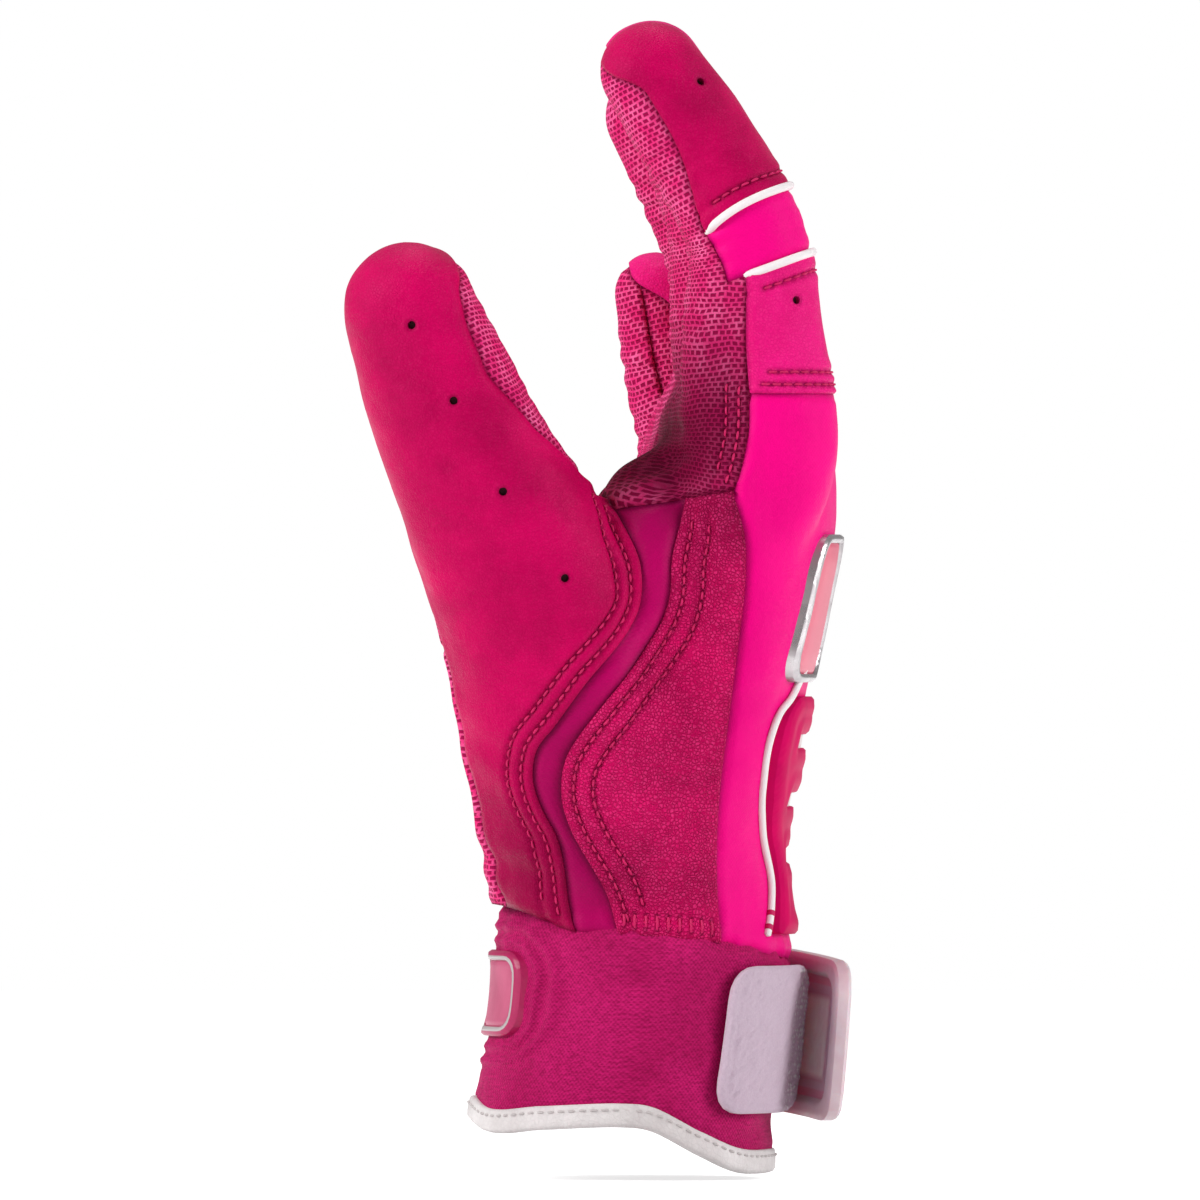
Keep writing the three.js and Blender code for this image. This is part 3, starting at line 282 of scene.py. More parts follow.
class Digit:
    """A finger or the thumb: a smooth axis through its joints, with a section at each"""

    def __init__(self, name, joints, facing, sections, size=1.0):
        self.name, self.size = name, size
        self.path = centripetal(joints, PATH_STEPS)
        self.arc = arc_lengths(self.path)
        self.distances = self.arc[::PATH_STEPS]
        self.length = self.arc[-1]
        tangent = np.gradient(self.path, self.arc, axis=0)
        self.tangent = tangent / np.linalg.norm(tangent, axis=1)[:, None]
        self.facing = np.array(facing, float)
        self.table = [[d, *section] for d, section in zip(self.distances, sections)]
        self.pivot, self.along, _, self.across = (v[0] for v in self.frame([self.distances[3]]))

    def frame(self, distance):
        distance = np.asarray(distance, float)
        inside = np.clip(distance, 0, self.length)
        point, along = (along_line(v, self.arc, inside) for v in (self.path, self.tangent))
        along /= np.linalg.norm(along, axis=1)[:, None]
        point = point + along * (distance - inside)[:, None]
        back = self.facing - along * (along @ self.facing)[:, None]
        back /= np.linalg.norm(back, axis=1)[:, None]
        return point, along, back, np.cross(along, back)

    def half_sizes(self, distance):
        depth, width = smooth_row(self.table, distance).T
        return depth / 2, width / 2

    def point(self, distance, angle, offset=0.0, scale=1.0):
        centre, _, back, side = self.frame(distance)
        depth, width = self.half_sizes(distance)
        to_back = round_power(np.cos(angle)) * (depth + offset) * scale
        to_side = round_power(np.sin(angle)) * (width + offset) * scale
        return centre + back * to_back[:, None] + side * to_side[:, None]

    def rings(self, step=1.2, sides=56, dome=12):
        angle = np.linspace(0, 2 * math.pi, sides, endpoint=False)
        reach = max(self.table[-1][1:]) / 2
        turn = np.linspace(0, 0.47 * math.pi, dome)[1:]
        places = [(d, 1.0) for d in np.arange(0, self.length, step)] + [(self.length, 1.0)]
        places += [(self.length + reach * math.sin(t), math.cos(t)) for t in turn]
        return np.array([self.point(np.full(sides, d), angle, 0.0, s) for d, s in places])

    def locate(self, points):
        """Distance along the axis, then to the back and to the side, and the half sizes there"""
        reach = np.arange(0, self.length + 16, 1.5)
        centre, along, back, side = self.frame(reach)
        nearest = np.empty(len(points), int)
        for i in range(0, len(points), 20000):
            gap = points[i:i + 20000, None, :] - centre[None]
            nearest[i:i + 20000] = (gap**2).sum(2).argmin(1)
        gap = points - centre[nearest]
        distance = reach[nearest] + (gap * along[nearest]).sum(1)
        depth, width = self.half_sizes(distance)
        return distance, (gap * back[nearest]).sum(1), (gap * side[nearest]).sum(1), depth, width

    def height_along(self, points):
        """How far points lie along the bending joint's own direction"""
        return (points - self.pivot) @ self.along


def make_fingers():
    knuckle_height, breadth = mm("knuckle_height"), mm("hand_breadth")
    fingers = []
    for share in FINGER_SHARES:
        knuckle = np.array([share["back"] * breadth, share["row"] * mm("finger_pitch"),
                            share["height"] * knuckle_height])
        height = knuckle[2] - 20
        back, _, half_breadth, arch = (v[0] for v in hand_section([height]))
        x = back - arch * max(0, knuckle[1] / half_breadth) ** 1.5
        lengths = [bone * mm("finger_bone") for bone in share["bones"]]
        bones = walk(knuckle, lengths, share["lean"], [0, 0, 0])
        joints = [[x, knuckle[1], height], bones[0], (bones[0] + bones[1]) / 2, *bones[1:]]
        sections = [(d * share["size"], w * share["size"]) for d, w in FINGER_SECTIONS]
        digit = Digit(share["name"], joints, [1, 0, 0], sections, share["size"])
        lean = math.radians(0.25 * share["lean"][0] + 0.75 * share["lean"][1])
        digit.along = np.array([-math.sin(lean), 0, math.cos(lean)])
        digit.base_height = knuckle[2] + share["base"] * lengths[0] * math.cos(
            math.radians(share["lean"][0]))
        fingers.append(digit)
    return fingers


def make_thumb():
    joints = walk(placed(THUMB_ROOT_SHARE), THUMB_BONES, THUMB_LEAN, THUMB_SIDE_LEAN)
    facing = math.radians(THUMB_FACING)
    return Digit("thumb", joints, [-math.sin(facing), -math.cos(facing), 0], THUMB_SECTIONS)


def hand_rings(sides=144, rows=90):
    """Rings of the hand from the wrist to the web line between the fingers"""
    angle = np.linspace(0, 2 * math.pi, sides, endpoint=False)
    bottom = 0.22 * mm("knuckle_height")
    rings = []
    for rise in np.linspace(0, 1, rows):
        height = np.full(sides, bottom)
        for _ in range(8):
            across = hand_point(angle, height)[:, 1]
            top = smooth_row(WEB_LINE_SHARES, across / (mm("hand_breadth") / 2))[:, 0]
            height = bottom + rise * (top * mm("knuckle_height") - bottom)
        rings.append(hand_point(angle, height))
    return np.array(rings)


def loft_faces(rows, sides, mirrored_top=False):
    """Quads of a closed tube of rings, with a fan at each end or a folded top"""
    faces = []
    for i in range(rows - 1):
        for j in range(sides):
            k = (j + 1) % sides
            faces.append((i * sides + j, i * sides + k, (i + 1) * sides + k, (i + 1) * sides + j))
    faces.append(tuple(range(sides - 1, -1, -1)))
    top = (rows - 1) * sides
    if mirrored_top:
        half = sides // 2
        mirror = [(half - j) % sides for j in range(sides)]
        for j in range(-(sides // 4), sides // 4):
            a, b = j % sides, (j + 1) % sides
            faces.append((top + a, top + b, top + mirror[b], top + mirror[a]))
    else:
        faces.append(tuple(range(top, top + sides)))
    return faces


def plain_mesh(name, points, faces):
    mesh = bpy.data.meshes.new(name)
    mesh.from_pydata([tuple(p) for p in points], [], [tuple(f) for f in faces])
    mesh.update()
    return mesh


def union_skin(fingers, thumb):
    """The outside of the hand, thumb, web and fingers as one mesh of small triangles"""
    points, faces = [], []

    def gather(new_points, new_faces):
        shift = sum(len(p) for p in points)
        points.append(np.asarray(new_points).reshape(-1, 3))
        faces.extend(tuple(i + shift for i in face) for face in new_faces)

    rings = hand_rings()
    gather(rings, loft_faces(len(rings), rings.shape[1], mirrored_top=True))
    for digit in [*fingers, thumb]:
        rings = digit.rings()
        gather(rings, loft_faces(len(rings), rings.shape[1]))
    angle = np.linspace(0, 2 * math.pi, 48, endpoint=False)
    rise = np.linspace(-0.49 * math.pi, 0.49 * math.pi, 40)
    centre, half = placed(THUMB_WEB_SHARE), np.array(THUMB_WEB_SIZE) / 2
    web = [[centre + half * [math.cos(r) * math.cos(a), math.cos(r) * math.sin(a), math.sin(r)]
            for a in angle] for r in rise]
    gather(web, loft_faces(len(rise), len(angle)))
    mesh = plain_mesh("glove_form", np.vstack(points) * METRE, faces)
    form = bpy.data.objects.new("glove_form", mesh)
    bpy.context.scene.collection.objects.link(form)
    remesh = form.modifiers.new("union", "REMESH")
    remesh.mode = "VOXEL"
    remesh.voxel_size = bpy.context.scene.glove_sizes.voxel
    bpy.context.view_layer.update()
    result = form.evaluated_get(bpy.context.evaluated_depsgraph_get()).to_mesh()
    found = np.empty(len(result.vertices) * 3, np.float32)
    result.vertices.foreach_get("co", found)
    result.calc_loop_triangles()
    triangles = np.empty(len(result.loop_triangles) * 3, np.int32)
    result.loop_triangles.foreach_get("vertices", triangles)
    bpy.data.objects.remove(form)
    return found.reshape(-1, 3).astype(float) / METRE, triangles.reshape(-1, 3).astype(int)


# Triangle meshes as arrays


def edges_of(faces):
    """Unique edges, and for each face the numbers of its three edges"""
    pairs = np.sort(np.stack([faces, np.roll(faces, -1, axis=1)], -1).reshape(-1, 2), axis=1)
    count = faces.max() + 1
    edges, which = np.unique(pairs[:, 0] * count + pairs[:, 1], return_inverse=True)
    return np.stack([edges // count, edges % count], -1), which.reshape(-1, 3)


def border_edges(faces):
    """Edges that only one face has, in the direction of that face"""
    edges, which = edges_of(faces)
    once = np.bincount(which.ravel(), minlength=len(edges)) == 1
    directed = np.stack([faces, np.roll(faces, -1, axis=1)], -1)
    return directed[once[which]]


def packed(faces):
    """The corners that faces use, and the faces numbered within them"""
    used, numbered = np.unique(faces, return_inverse=True)
    return used, numbered.reshape(faces.shape)


def skirt(edges, levels):
    """Points and faces down from edges, through the same corners at each level"""
    count, quads = len(levels[0]), []
    for level in range(len(levels) - 1):
        a, b = edges[:, 0] + level * count, edges[:, 1] + level * count
        quads += [np.stack([b, a, a + count], 1), np.stack([b, a + count, b + count], 1)]
    return np.vstack(levels), np.vstack(quads)


def vertex_normals(points, faces):
    a, b, c = (points[faces[:, k]] for k in range(3))
    normal = np.cross(b - a, c - a)
    total = np.zeros_like(points)
    for k in range(3):
        for axis in range(3):
            total[:, axis] += np.bincount(faces[:, k], normal[:, axis], len(points))
    return total / np.maximum(np.linalg.norm(total, axis=1), 1e-12)[:, None]


def neighbour_mean(values, edges, count):
    total = np.zeros((count, values.shape[1]))
    for a, b in ((0, 1), (1, 0)):
        for axis in range(values.shape[1]):
            total[:, axis] += np.bincount(edges[:, a], values[edges[:, b], axis], count)
    degree = np.bincount(edges.ravel(), minlength=count)
    return total / np.maximum(degree, 1)[:, None]


def smooth_points(points, faces, rounds, weight=1.0, back=-0.52):
    """Evens out a mesh, and with a step back after each round it doesn't shrink"""
    edges, _ = edges_of(faces)
    used = np.flatnonzero(np.broadcast_to(weight, len(points)) > 0.01)
    place = np.full(len(points), -1)
    place[used] = np.arange(len(used))
    edges = place[edges]
    edges = edges[(edges >= 0).all(1)]
    part = points[used]
    weight = np.broadcast_to(weight, len(points))[used][:, None]
    for _ in range(rounds):
        for step in (0.5, back):
            if step:
                part = part + step * weight * (neighbour_mean(part, edges, len(part)) - part)
    points = points.copy()
    points[used] = part
    return points


class Skin:
    """Triangles with values at their corners, cut into panels along fields"""

    def __init__(self, points, faces, normals):
        self.data = np.hstack([points, normals])
        self.faces = faces
        self.panel = np.zeros(len(faces), int)
        self.names = ["palm"]
        self.near = None

    @property
    def points(self):
        return self.data[:, :3]

    @property
    def normals(self):
        normals = self.data[:, 3:6]
        return normals / np.linalg.norm(normals, axis=1)[:, None]

    def split(self, edges, share):
        """Puts a corner on each edge at its share, and splits the faces beside it"""
        count = len(self.data)
        a, b = self.data[edges[:, 0]], self.data[edges[:, 1]]
        self.data = np.vstack([self.data, a + (b - a) * share[:, None]])
        keys = edges.min(1) * (count + 1) + edges.max(1)
        order = np.argsort(keys)
        keys = keys[order]
        pairs = np.stack([self.faces, np.roll(self.faces, -1, axis=1)], -1)
        wanted = pairs.min(2) * (count + 1) + pairs.max(2)
        slot = np.clip(np.searchsorted(keys, wanted), 0, len(keys) - 1)
        middle = np.where(keys[slot] == wanted, count + order[slot], -1)
        cuts = (middle >= 0).sum(1)
        parts, parents = [self.faces[cuts == 0]], [np.flatnonzero(cuts == 0)]

        def turned(which, first):
            rows = np.arange(3)[None, :] + first[:, None]
            return (np.take_along_axis(self.faces[which], rows % 3, 1),
                    np.take_along_axis(middle[which], rows % 3, 1))

        one = np.flatnonzero(cuts == 1)
        v, m = turned(one, (middle[one] >= 0).argmax(1))
        parts += [np.stack([v[:, 0], m[:, 0], v[:, 2]], 1),
                  np.stack([m[:, 0], v[:, 1], v[:, 2]], 1)]
        parents += [one, one]
        two = np.flatnonzero(cuts == 2)
        v, m = turned(two, (middle[two] < 0).argmax(1))
        parts.append(np.stack([m[:, 1], v[:, 2], m[:, 2]], 1))
        parents.append(two)
        first = np.linalg.norm(self.points[v[:, 0]] - self.points[m[:, 1]], axis=1)
        second = np.linalg.norm(self.points[v[:, 1]] - self.points[m[:, 2]], axis=1)
        for pick, corners in ((first <= second, ((0, 1, 4), (0, 4, 5))),
                              (first > second, ((0, 1, 5), (1, 4, 5)))):
            both = np.hstack([v, m])[pick]
            for corner in corners:
                parts.append(both[:, corner])
                parents.append(two[pick])
        three = np.flatnonzero(cuts == 3)
        v, m = self.faces[three], middle[three]
        for corner in ((0, 3, 5), (3, 1, 4), (5, 4, 2), (3, 4, 5)):
            parts.append(np.hstack([v, m])[:, corner])
            parents.append(three)
        self.faces = np.vstack(parts)
        parents = np.concatenate(parents)
        self.panel = self.panel[parents]
        return parents

    def cut(self, field, active):
        """Cuts the active faces along field = 0, and returns those on its positive side"""
        used = np.unique(self.faces[active])
        if not len(used):
            return active
        value = np.full(len(self.data), np.nan)
        value[used] = field(self.points[used])
        value[value == 0] = 1e-9
        edges, _ = edges_of(self.faces[active])
        a, b = value[edges[:, 0]], value[edges[:, 1]]
        crossing = a * b < 0
        edges, a, b = edges[crossing], a[crossing], b[crossing]
        share = a / (a - b)
        near = np.concatenate([share, 1 - share])
        ends = np.concatenate([edges, edges[:, ::-1]])
        close = near < 0.2
        near, ends = near[close], ends[close]
        order = np.argsort(-near)
        target = {}
        for end, other, step in zip(ends[order, 0], ends[order, 1], near[order]):
            target[end] = (other, step)
        if target:
            moved = np.array(list(target))
            others = np.array([target[m][0] for m in moved])
            steps = np.array([target[m][1] for m in moved])[:, None]
            self.data[moved] += steps * (self.data[others] - self.data[moved])
            value[moved] = 0
        a, b = value[edges[:, 0]], value[edges[:, 1]]
        crossing = a * b < 0
        edges, share = edges[crossing], (a / np.where(a == b, 1, a - b))[crossing]
        if len(edges):
            value = np.concatenate([value, np.zeros(len(edges))])
            parents = self.split(edges, share)
            active = active[parents]
        inside = np.nan_to_num(value)[self.faces].sum(1) > 0
        return active & inside

    def centres(self):
        return self.points[self.faces].mean(1)

    def take(self, name, *fields, source="palm", near=None):
        """Makes a panel of the faces of another where all fields are positive"""
        active = self.panel == self.names.index(source)
        near = near or self.near
        if near:
            active &= near(self.centres())
        for field in fields:
            active = self.cut(field, active)
        if name not in self.names:
            self.names.append(name)
        self.panel[active] = self.names.index(name)

    def keep(self, field):
        """Drops everything where the field is negative"""
        inside = self.cut(field, np.ones(len(self.faces), bool))
        self.faces, self.panel = self.faces[inside], self.panel[inside]

    def refine(self, longest):
        """Halves the edges that are longer than the size at their middle"""
        edges, _ = edges_of(self.faces)
        a, b = self.points[edges[:, 0]], self.points[edges[:, 1]]
        long = np.linalg.norm(a - b, axis=1) > longest((a + b) / 2)
        if long.any():
            self.split(edges[long], np.full(long.sum(), 0.5))


# Seams as fields


def seam_curve(shares):
    return centripetal(np.array(shares) * [mm("hand_breadth"), mm("knuckle_height")], 12)


def side_edge(shares, reach=400.0):
    """A smooth edge down the side view, straight beyond both ends"""
    curve = seam_curve(shares)
    return np.vstack([curve[:1] + [0, reach], curve, curve[-1:] - [0, reach]])


def from_segment(flat, start, way):
    """The steps to flat points from the nearest place on a segment"""
    gap = flat - start
    share = np.clip(gap @ way / max(way @ way, 1e-12), 0, 1)
    return gap - share[:, None] * way


def signed_distance(flat, line):
    """Distance from a line of points, positive on its left as it runs down"""
    best, side = np.full(len(flat), np.inf), np.ones(len(flat))
    for start, way in zip(line[:-1], np.diff(line, axis=0)):
        rest = from_segment(flat, start, way)
        far = (rest**2).sum(1)
        closer = far < best
        best = np.where(closer, far, best)
        side = np.where(closer, np.sign(way[0] * rest[:, 1] - way[1] * rest[:, 0]), side)
    return np.sqrt(best) * side


def side_field(edge, sign=1.0, arched=False):
    """Positive to the back of an edge in the side view, or to the palm with sign -1"""
    def field(points):
        flat = points[:, [0, 2]].copy()
        if arched:
            arch = hand_section(points[:, 2])[3]
            flat[:, 0] += arch * smooth_step(points[:, 1], -4, 4)
        return sign * signed_distance(flat, edge)
    return field


def height_line(shares):
    curve = seam_curve(shares)
    return lambda x: np.interp(x, curve[:, 0], curve[:, 1])


def depth_field(digit, share, sign=1.0, tip_wrap=0.0, forward=0.0):
    """Positive on the back of a digit, past a share of its half depth"""
    def field(points):
        distance, depth, _, half_depth, _ = digit.locate(points)
        wrap = tip_wrap * smooth_step(distance, digit.length - 3, digit.length + 5)
        wrap += forward * bump(distance - digit.distances[3] - 5.5, 11)
        return sign * (depth - (share - wrap) * half_depth)
    return field


def along_field(digit, height, sign=1.0):
    return lambda points: sign * (digit.height_along(points) - height)


def upper_edge_field(finger, height):
    """Positive above the upper cord, which drops where it nears the finger's front"""
    def field(points):
        _, depth, _, half_depth, _ = finger.locate(points)
        front = np.clip((0.9 - depth / half_depth) / 1.5, 0, 1)
        drop = finger.size * (3.6 * front**2.4 - 0.8 * front)
        return finger.height_along(points) - height + drop
    return field


def plane_field(axis, place, sign=1.0):
    return lambda points: sign * (points[:, axis] - place)


def section_share(depth, across, half_depth, half_width):
    """How far out a point lies in a digit's section: 1 is on its outline"""
    shares = np.abs(depth / half_depth) ** ROUNDNESS + np.abs(across / half_width) ** ROUNDNESS
    return shares ** (1 / ROUNDNESS)


def nearer_field(digit, other):
    """Positive where a finger's own form is nearer than its neighbour's"""
    def out(finger, points):
        distance, *section = finger.locate(points)
        beyond = np.maximum(distance - finger.length, 0) / section[2]
        return np.hypot(section_share(*section), beyond)
    return lambda points: 10 * (out(other, points) - out(digit, points))


def wall_field(digit, side):
    """Positive on one flank of a finger, where its side wall lies"""
    def field(points):
        _, depth, across, half_depth, half_width = digit.locate(points)
        flank = side * across - half_width * WALL_SHARES["side"]
        front = depth - half_depth * WALL_SHARES["front"]
        back = half_depth * WALL_SHARES["back"] - depth
        return np.minimum(np.minimum(flank, front), back)
    return field


def thumb_back_field(thumb):
    """Positive on the back of the thumb, whose seam comes forward at both ends"""
    def field(points):
        distance, depth, across, half_depth, half_width = thumb.locate(points)
        left = np.interp(distance, [25, 60, 85, 112], [0.62, 0.46, 0.32, -0.25])
        right = np.interp(points[:, 2], [128, 139, 150, 160, 172], [-0.5, 0.36, 0.66, 0.62, 0.34])
        side = smooth_step(across / half_width, -0.7, 0.7)
        share = left + (right - left) * side
        share -= 0.9 * smooth_step(distance - 3 * side, thumb.length - 4, thumb.length + 6)
        return depth - share * half_depth
    return field


def thumb_grip_field(thumb):
    def field(points):
        distance, *section = thumb.locate(points)
        radius = np.where(distance > thumb.length, 0.8, section_share(*section))
        first, second = distance - THUMB_GRIP_START, (1.1 - radius) * 14
        return -2.5 * np.logaddexp(-first / 2.5, -second / 2.5)
    return field


def base_line(fingers):
    """Lower edge of the leather over the finger bases, as heights across the hand"""
    places = [finger.pivot[1] for finger in fingers]
    heights = [finger.base_height for finger in fingers]

    def height(across):
        value = np.full(len(across), heights[0])
        for i in range(3):
            middle, half = (places[i] + places[i + 1]) / 2, 6.0
            step = smooth_step(across, middle - half, middle + half)
            value += (heights[i + 1] - heights[i]) * step
        return value
    return height


def distance_at_height(digit, height):
    places = np.linspace(0, digit.length, 800)
    return float(np.interp(height, digit.frame(places)[0][:, 2], places))


def vent_places(fingers, thumb):
    """Centres and directions of the breathing holes, by panel"""
    vents = []
    for finger in fingers:
        joint = finger.distances[3]
        places = {"tip_back": joint + (finger.length - joint) * 0.82,
                  "base_back": finger.distances[1] + (joint - finger.distances[1]) * 0.72}
        for panel, distance in places.items():
            vents.append((f"{finger.name}_{panel}", finger, distance, -52.0))
    for height, degrees in ((1.176, 6), (1.07, 14), (0.95, 17), (0.829, 29)):
        distance = distance_at_height(thumb, height * mm("knuckle_height"))
        vents.append(("thumb_back", thumb, distance, degrees))
    found = []
    for panel, digit, distance, degrees in vents:
        angle = np.radians([degrees])
        outside, inside = (digit.point(np.array([distance]), angle, d)[0] for d in (0.0, -3.0))
        way = (outside - inside) / np.linalg.norm(outside - inside)
        found.append((panel, outside, way))
    return found


VENT_RADIUS = 0.8
WEB_HEIGHT_SHARE = 0.945
SEAM_BAND = 6.5


def cut_panels(skin, fingers, thumb):
    """Cuts the skin along its seams, in the order in which one panel covers the next"""
    wrist = height_line(WRIST_SEAM_SHARES)
    skin.keep(lambda p: p[:, 2] - wrist(p[:, 0]))
    rows = [finger.pivot[1] for finger in fingers]
    limits = [-60.0, *[(a + b) / 2 for a, b in zip(rows[:-1], rows[1:])], 60.0]
    lower_edge = base_line(fingers)
    for i, finger in enumerate(fingers):
        low, high, size = limits[i], limits[i + 1], finger.size
        skin.near = lambda c, low=low, high=high, floor=finger.base_height - 25: (
            (c[:, 1] > low - 4) & (c[:, 1] < high + 4) & (c[:, 2] > floor) & (c[:, 0] > -15))
        own = [nearer_field(finger, fingers[k]) for k in (i - 1, i + 1) if 0 <= k < 4]
        seam = (depth_field(finger, 0.3, 1.0, 0.8, 0) if i
                else depth_field(finger, FINGER_SEAM_SHARE, 1.0, 0.45, 0.3))
        above = upper_edge_field(finger, ZONE_ABOVE * size)
        below = along_field(finger, -ZONE_BELOW * size)
        skin.take(f"{finger.name}_tip_back", *own, above, seam)
        skin.take(f"{finger.name}_knuckle_gusset", *own, below, seam)
        for side, border in ((-1, i - 1), (1, i)):
            if 0 <= border < 3:
                across = (rows[border] + rows[border + 1]) / mm("hand_breadth")
                web = smooth_row(WEB_LINE_SHARES, across)[0, 0] * mm("knuckle_height")
                floor = web - FINGER_SECTIONS[2][0] * WALL_SHARES["drop"]
                flank = "ulnar" if side > 0 else "radial"
                skin.take(f"{finger.name}_{flank}_wall", *own, plane_field(2, floor),
                          wall_field(finger, side))
        seam = depth_field(finger, BASE_SEAM_SHARE)
        skin.take(f"{finger.name}_base_back", *own, lambda p: p[:, 2] - lower_edge(p[:, 1]), seam)
        skin.take(f"{finger.name}_grip", *own, along_field(finger, -BLEND_REACH[finger.name][0]))
    skin.near = lambda c: c[:, 1] < 8
    right = side_edge(THUMB_RIGHT_EDGE_SHARES)
    left = side_edge(WRAP_LEFT_EDGE_SHARES)
    back_edge = side_edge(WRAP_RIGHT_EDGE_SHARES)
    skin.take("thumb_back", side_field(right, -1), thumb_back_field(thumb))
    skin.take("thumb_grip", thumb_grip_field(thumb))
    reach = plane_field(1, -WRAP_REACH_SHARE * mm("hand_breadth"), -1)
    top = WRAP_TOP_SHARE * mm("knuckle_height")

    def below_top(points):
        return top - 2.2 + 0.14 * (points[:, 0] + 4) - points[:, 2]

    skin.take("palm_wrap", reach, side_field(left), side_field(back_edge, -1), below_top)
    skin.take("thumb_gusset", reach, side_field(right), side_field(left, -1), below_top)
    skin.near = None
    skin.take("hand_back", side_field(back_edge, arched=True))
    merge_islands(skin)
    for panel, centre, way in vent_places(fingers, thumb):
        def inside(points, centre=centre, way=way):
            gap = points - centre
            return VENT_RADIUS - np.linalg.norm(gap - (gap @ way)[:, None] * way, axis=1)

        def close(points, centre=centre):
            return np.linalg.norm(points - centre, axis=1)

        for _ in range(2):
            skin.refine(lambda middle: np.where(close(middle) < 3, 0.42, 99))
        skin.take(f"{panel}_vent", inside, source=panel, near=lambda c: close(c) < 3)


def merge_islands(skin, share=0.12):
    """Gives every small island of a panel to the panel that lies round it"""
    for own in range(len(skin.names)):
        picked = np.flatnonzero(skin.panel == own)
        used, faces = packed(skin.faces[picked])
        label, before = np.arange(len(used)), None
        while before is None or (label != before).any():
            before = label.copy()
            np.minimum.at(label, faces.ravel(), np.repeat(before[faces].min(1), 3))
        islands, sizes = np.unique(label[faces[:, 0]], return_counts=True)
        for island, size in zip(islands, sizes):
            if size < share * sizes.max():
                inside = picked[label[faces[:, 0]] == island]
                beside = np.isin(skin.faces, skin.faces[inside]).any(1) & (skin.panel != own)
                skin.panel[inside] = np.bincount(skin.panel[beside]).argmax()


def border_tree(points):
    tree = KDTree(len(points))
    for i, point in enumerate(points):
        tree.insert(point, i)
    tree.balance()
    return tree


def distance_to(tree, points):
    return np.array([tree.find(point)[2] for point in points])


def touching(skin):
    """For each corner, which panels its faces belong to"""
    touch = np.zeros((len(skin.data), len(skin.names)), bool)
    for k in range(3):
        touch[skin.faces[:, k], skin.panel] = True
    return touch


def relax(skin, rounds=3):
    """Evens out the triangles in the surface, and the seams along themselves"""
    for _ in range(rounds):
        edges, _ = edges_of(skin.faces)
        touch = touching(skin)
        panels = touch.sum(1)
        open_edge = np.zeros(len(skin.data), bool)
        open_edge[border_edges(skin.faces).ravel()] = True
        seam = (panels > 1) | open_edge
        shared = (touch[edges[:, 0]] & touch[edges[:, 1]]).sum(1)
        both = seam[edges].all(1) & (shared > 0)
        along = both & ((shared > 1) | open_edge[edges].all(1))
        inner = neighbour_mean(skin.points, edges, len(skin.data)) - skin.points
        chain = neighbour_mean(skin.points, edges[along], len(skin.data)) - skin.points
        degree = np.bincount(edges[along].ravel(), minlength=len(skin.data))
        move = np.where(seam[:, None], np.where((degree == 2)[:, None], chain, 0), inner)
        normals = skin.normals
        move -= normals * (move * normals).sum(1)[:, None]
        skin.data[:, :3] += 0.5 * move


# What happens beside a seam: panels that lie over the next, under it, or are turned in with it

LAYERS = {"tip_back": 3, "base_back": 3, "thumb_back": 3, "palm_wrap": 2, "grip": 1, "palm": 1,
          "hand_back": 0, "thumb_gusset": 0, "knuckle_gusset": 0, "wall": 0, "vent": -1}
TURNED = {frozenset(pair) for pair in (
    ("thumb_back", "palm"), ("thumb_back", "grip"), ("base_back", "grip"), ("base_back", "palm"),
    ("palm", "grip"), ("hand_back", "palm"))}
STITCH_ROWS = [
    ("thumb_back", ("thumb_gusset",), (2.2, 5.0)), ("palm_wrap", ("thumb_gusset",), (2.4, 6.0)),
    ("base_back", ("hand_back",), (1.7, 4.0)), ("base_back", ("knuckle_gusset",), (3.4,)),
    ("tip_back", ("knuckle_gusset",), (3.2,)), ("palm", ("hand_back",), (1.9, 4.3)),
]


def panel_kind(name):
    """The kind of a panel: its name without the finger's"""
    return next(kind for kind in LAYERS if name.endswith(kind))


def seam_kind(panel, other):
    mine, its = panel_kind(panel), panel_kind(other)
    if its == "vent":
        return "vent"
    if frozenset((mine, its)) in TURNED or LAYERS[mine] == LAYERS[its]:
        return "turned"
    return "over" if LAYERS[mine] > LAYERS[its] else "under"


# Painted shade in hollows and folds, where shade falls: kinds, centre, reach and how dark
PAINTED_SHADE_PLACES = [
    (("grip", "palm"), (17, -32, 140), (17, 30, 19), 0.95),
    (("grip", "palm"), (4, -20, 132), (14, 20, 9), 0.75),
    (("palm_wrap",), (20, -34, 127), (16, 20, 14), 0.75),
    (("palm_wrap",), (14, -34, 60), (26, 20, 9), 0.3),
    (("thumb_back",), (-20, -30, 56), (22, 30, 17), 0.72),
    (("thumb_back",), (4, -30, 128), (9, 30, 7), 0.5),
    (("thumb_gusset",), (10, -30, 128), (14, 20, 12), 0.55),
    (("thumb_gusset",), (-8, -30, 70), (14, 20, 24), 0.55),
    (("tip_back",), (12, -30, 196), (7, 12, 20), 0.22),
    (("hand_back",), (21, -34, 60), (8, 20, 60), 0.1),
]


def relief(kind, distance):
    """How far the skin rises beside a seam, and the painted shade of its groove or lap"""
    if kind == "over":
        edge = np.sqrt(1 - (1 - np.clip(distance / 0.7, 0, 1)) ** 2)
        rise = 0.5 * edge * (1 - 0.6 * smooth_step(distance, 2, 8)) - 0.05
        return rise, 0.25 * bump(distance, 0.4)
    if kind == "under":
        return -0.4 * (1 - smooth_step(distance, 0.2, 2.2)), 0.85 * bump(distance, 0.7)
    if kind == "vent":
        rise = 0.1 * bump(distance - 0.7, 0.4) - 0.12 * bump(distance, 0.4)
        return rise, 0.5 * bump(distance, 0.4)
    return 0.26 * bump(distance - 2, 1.3) - 0.5 * bump(distance, 0.75), 0.7 * bump(distance, 0.5)


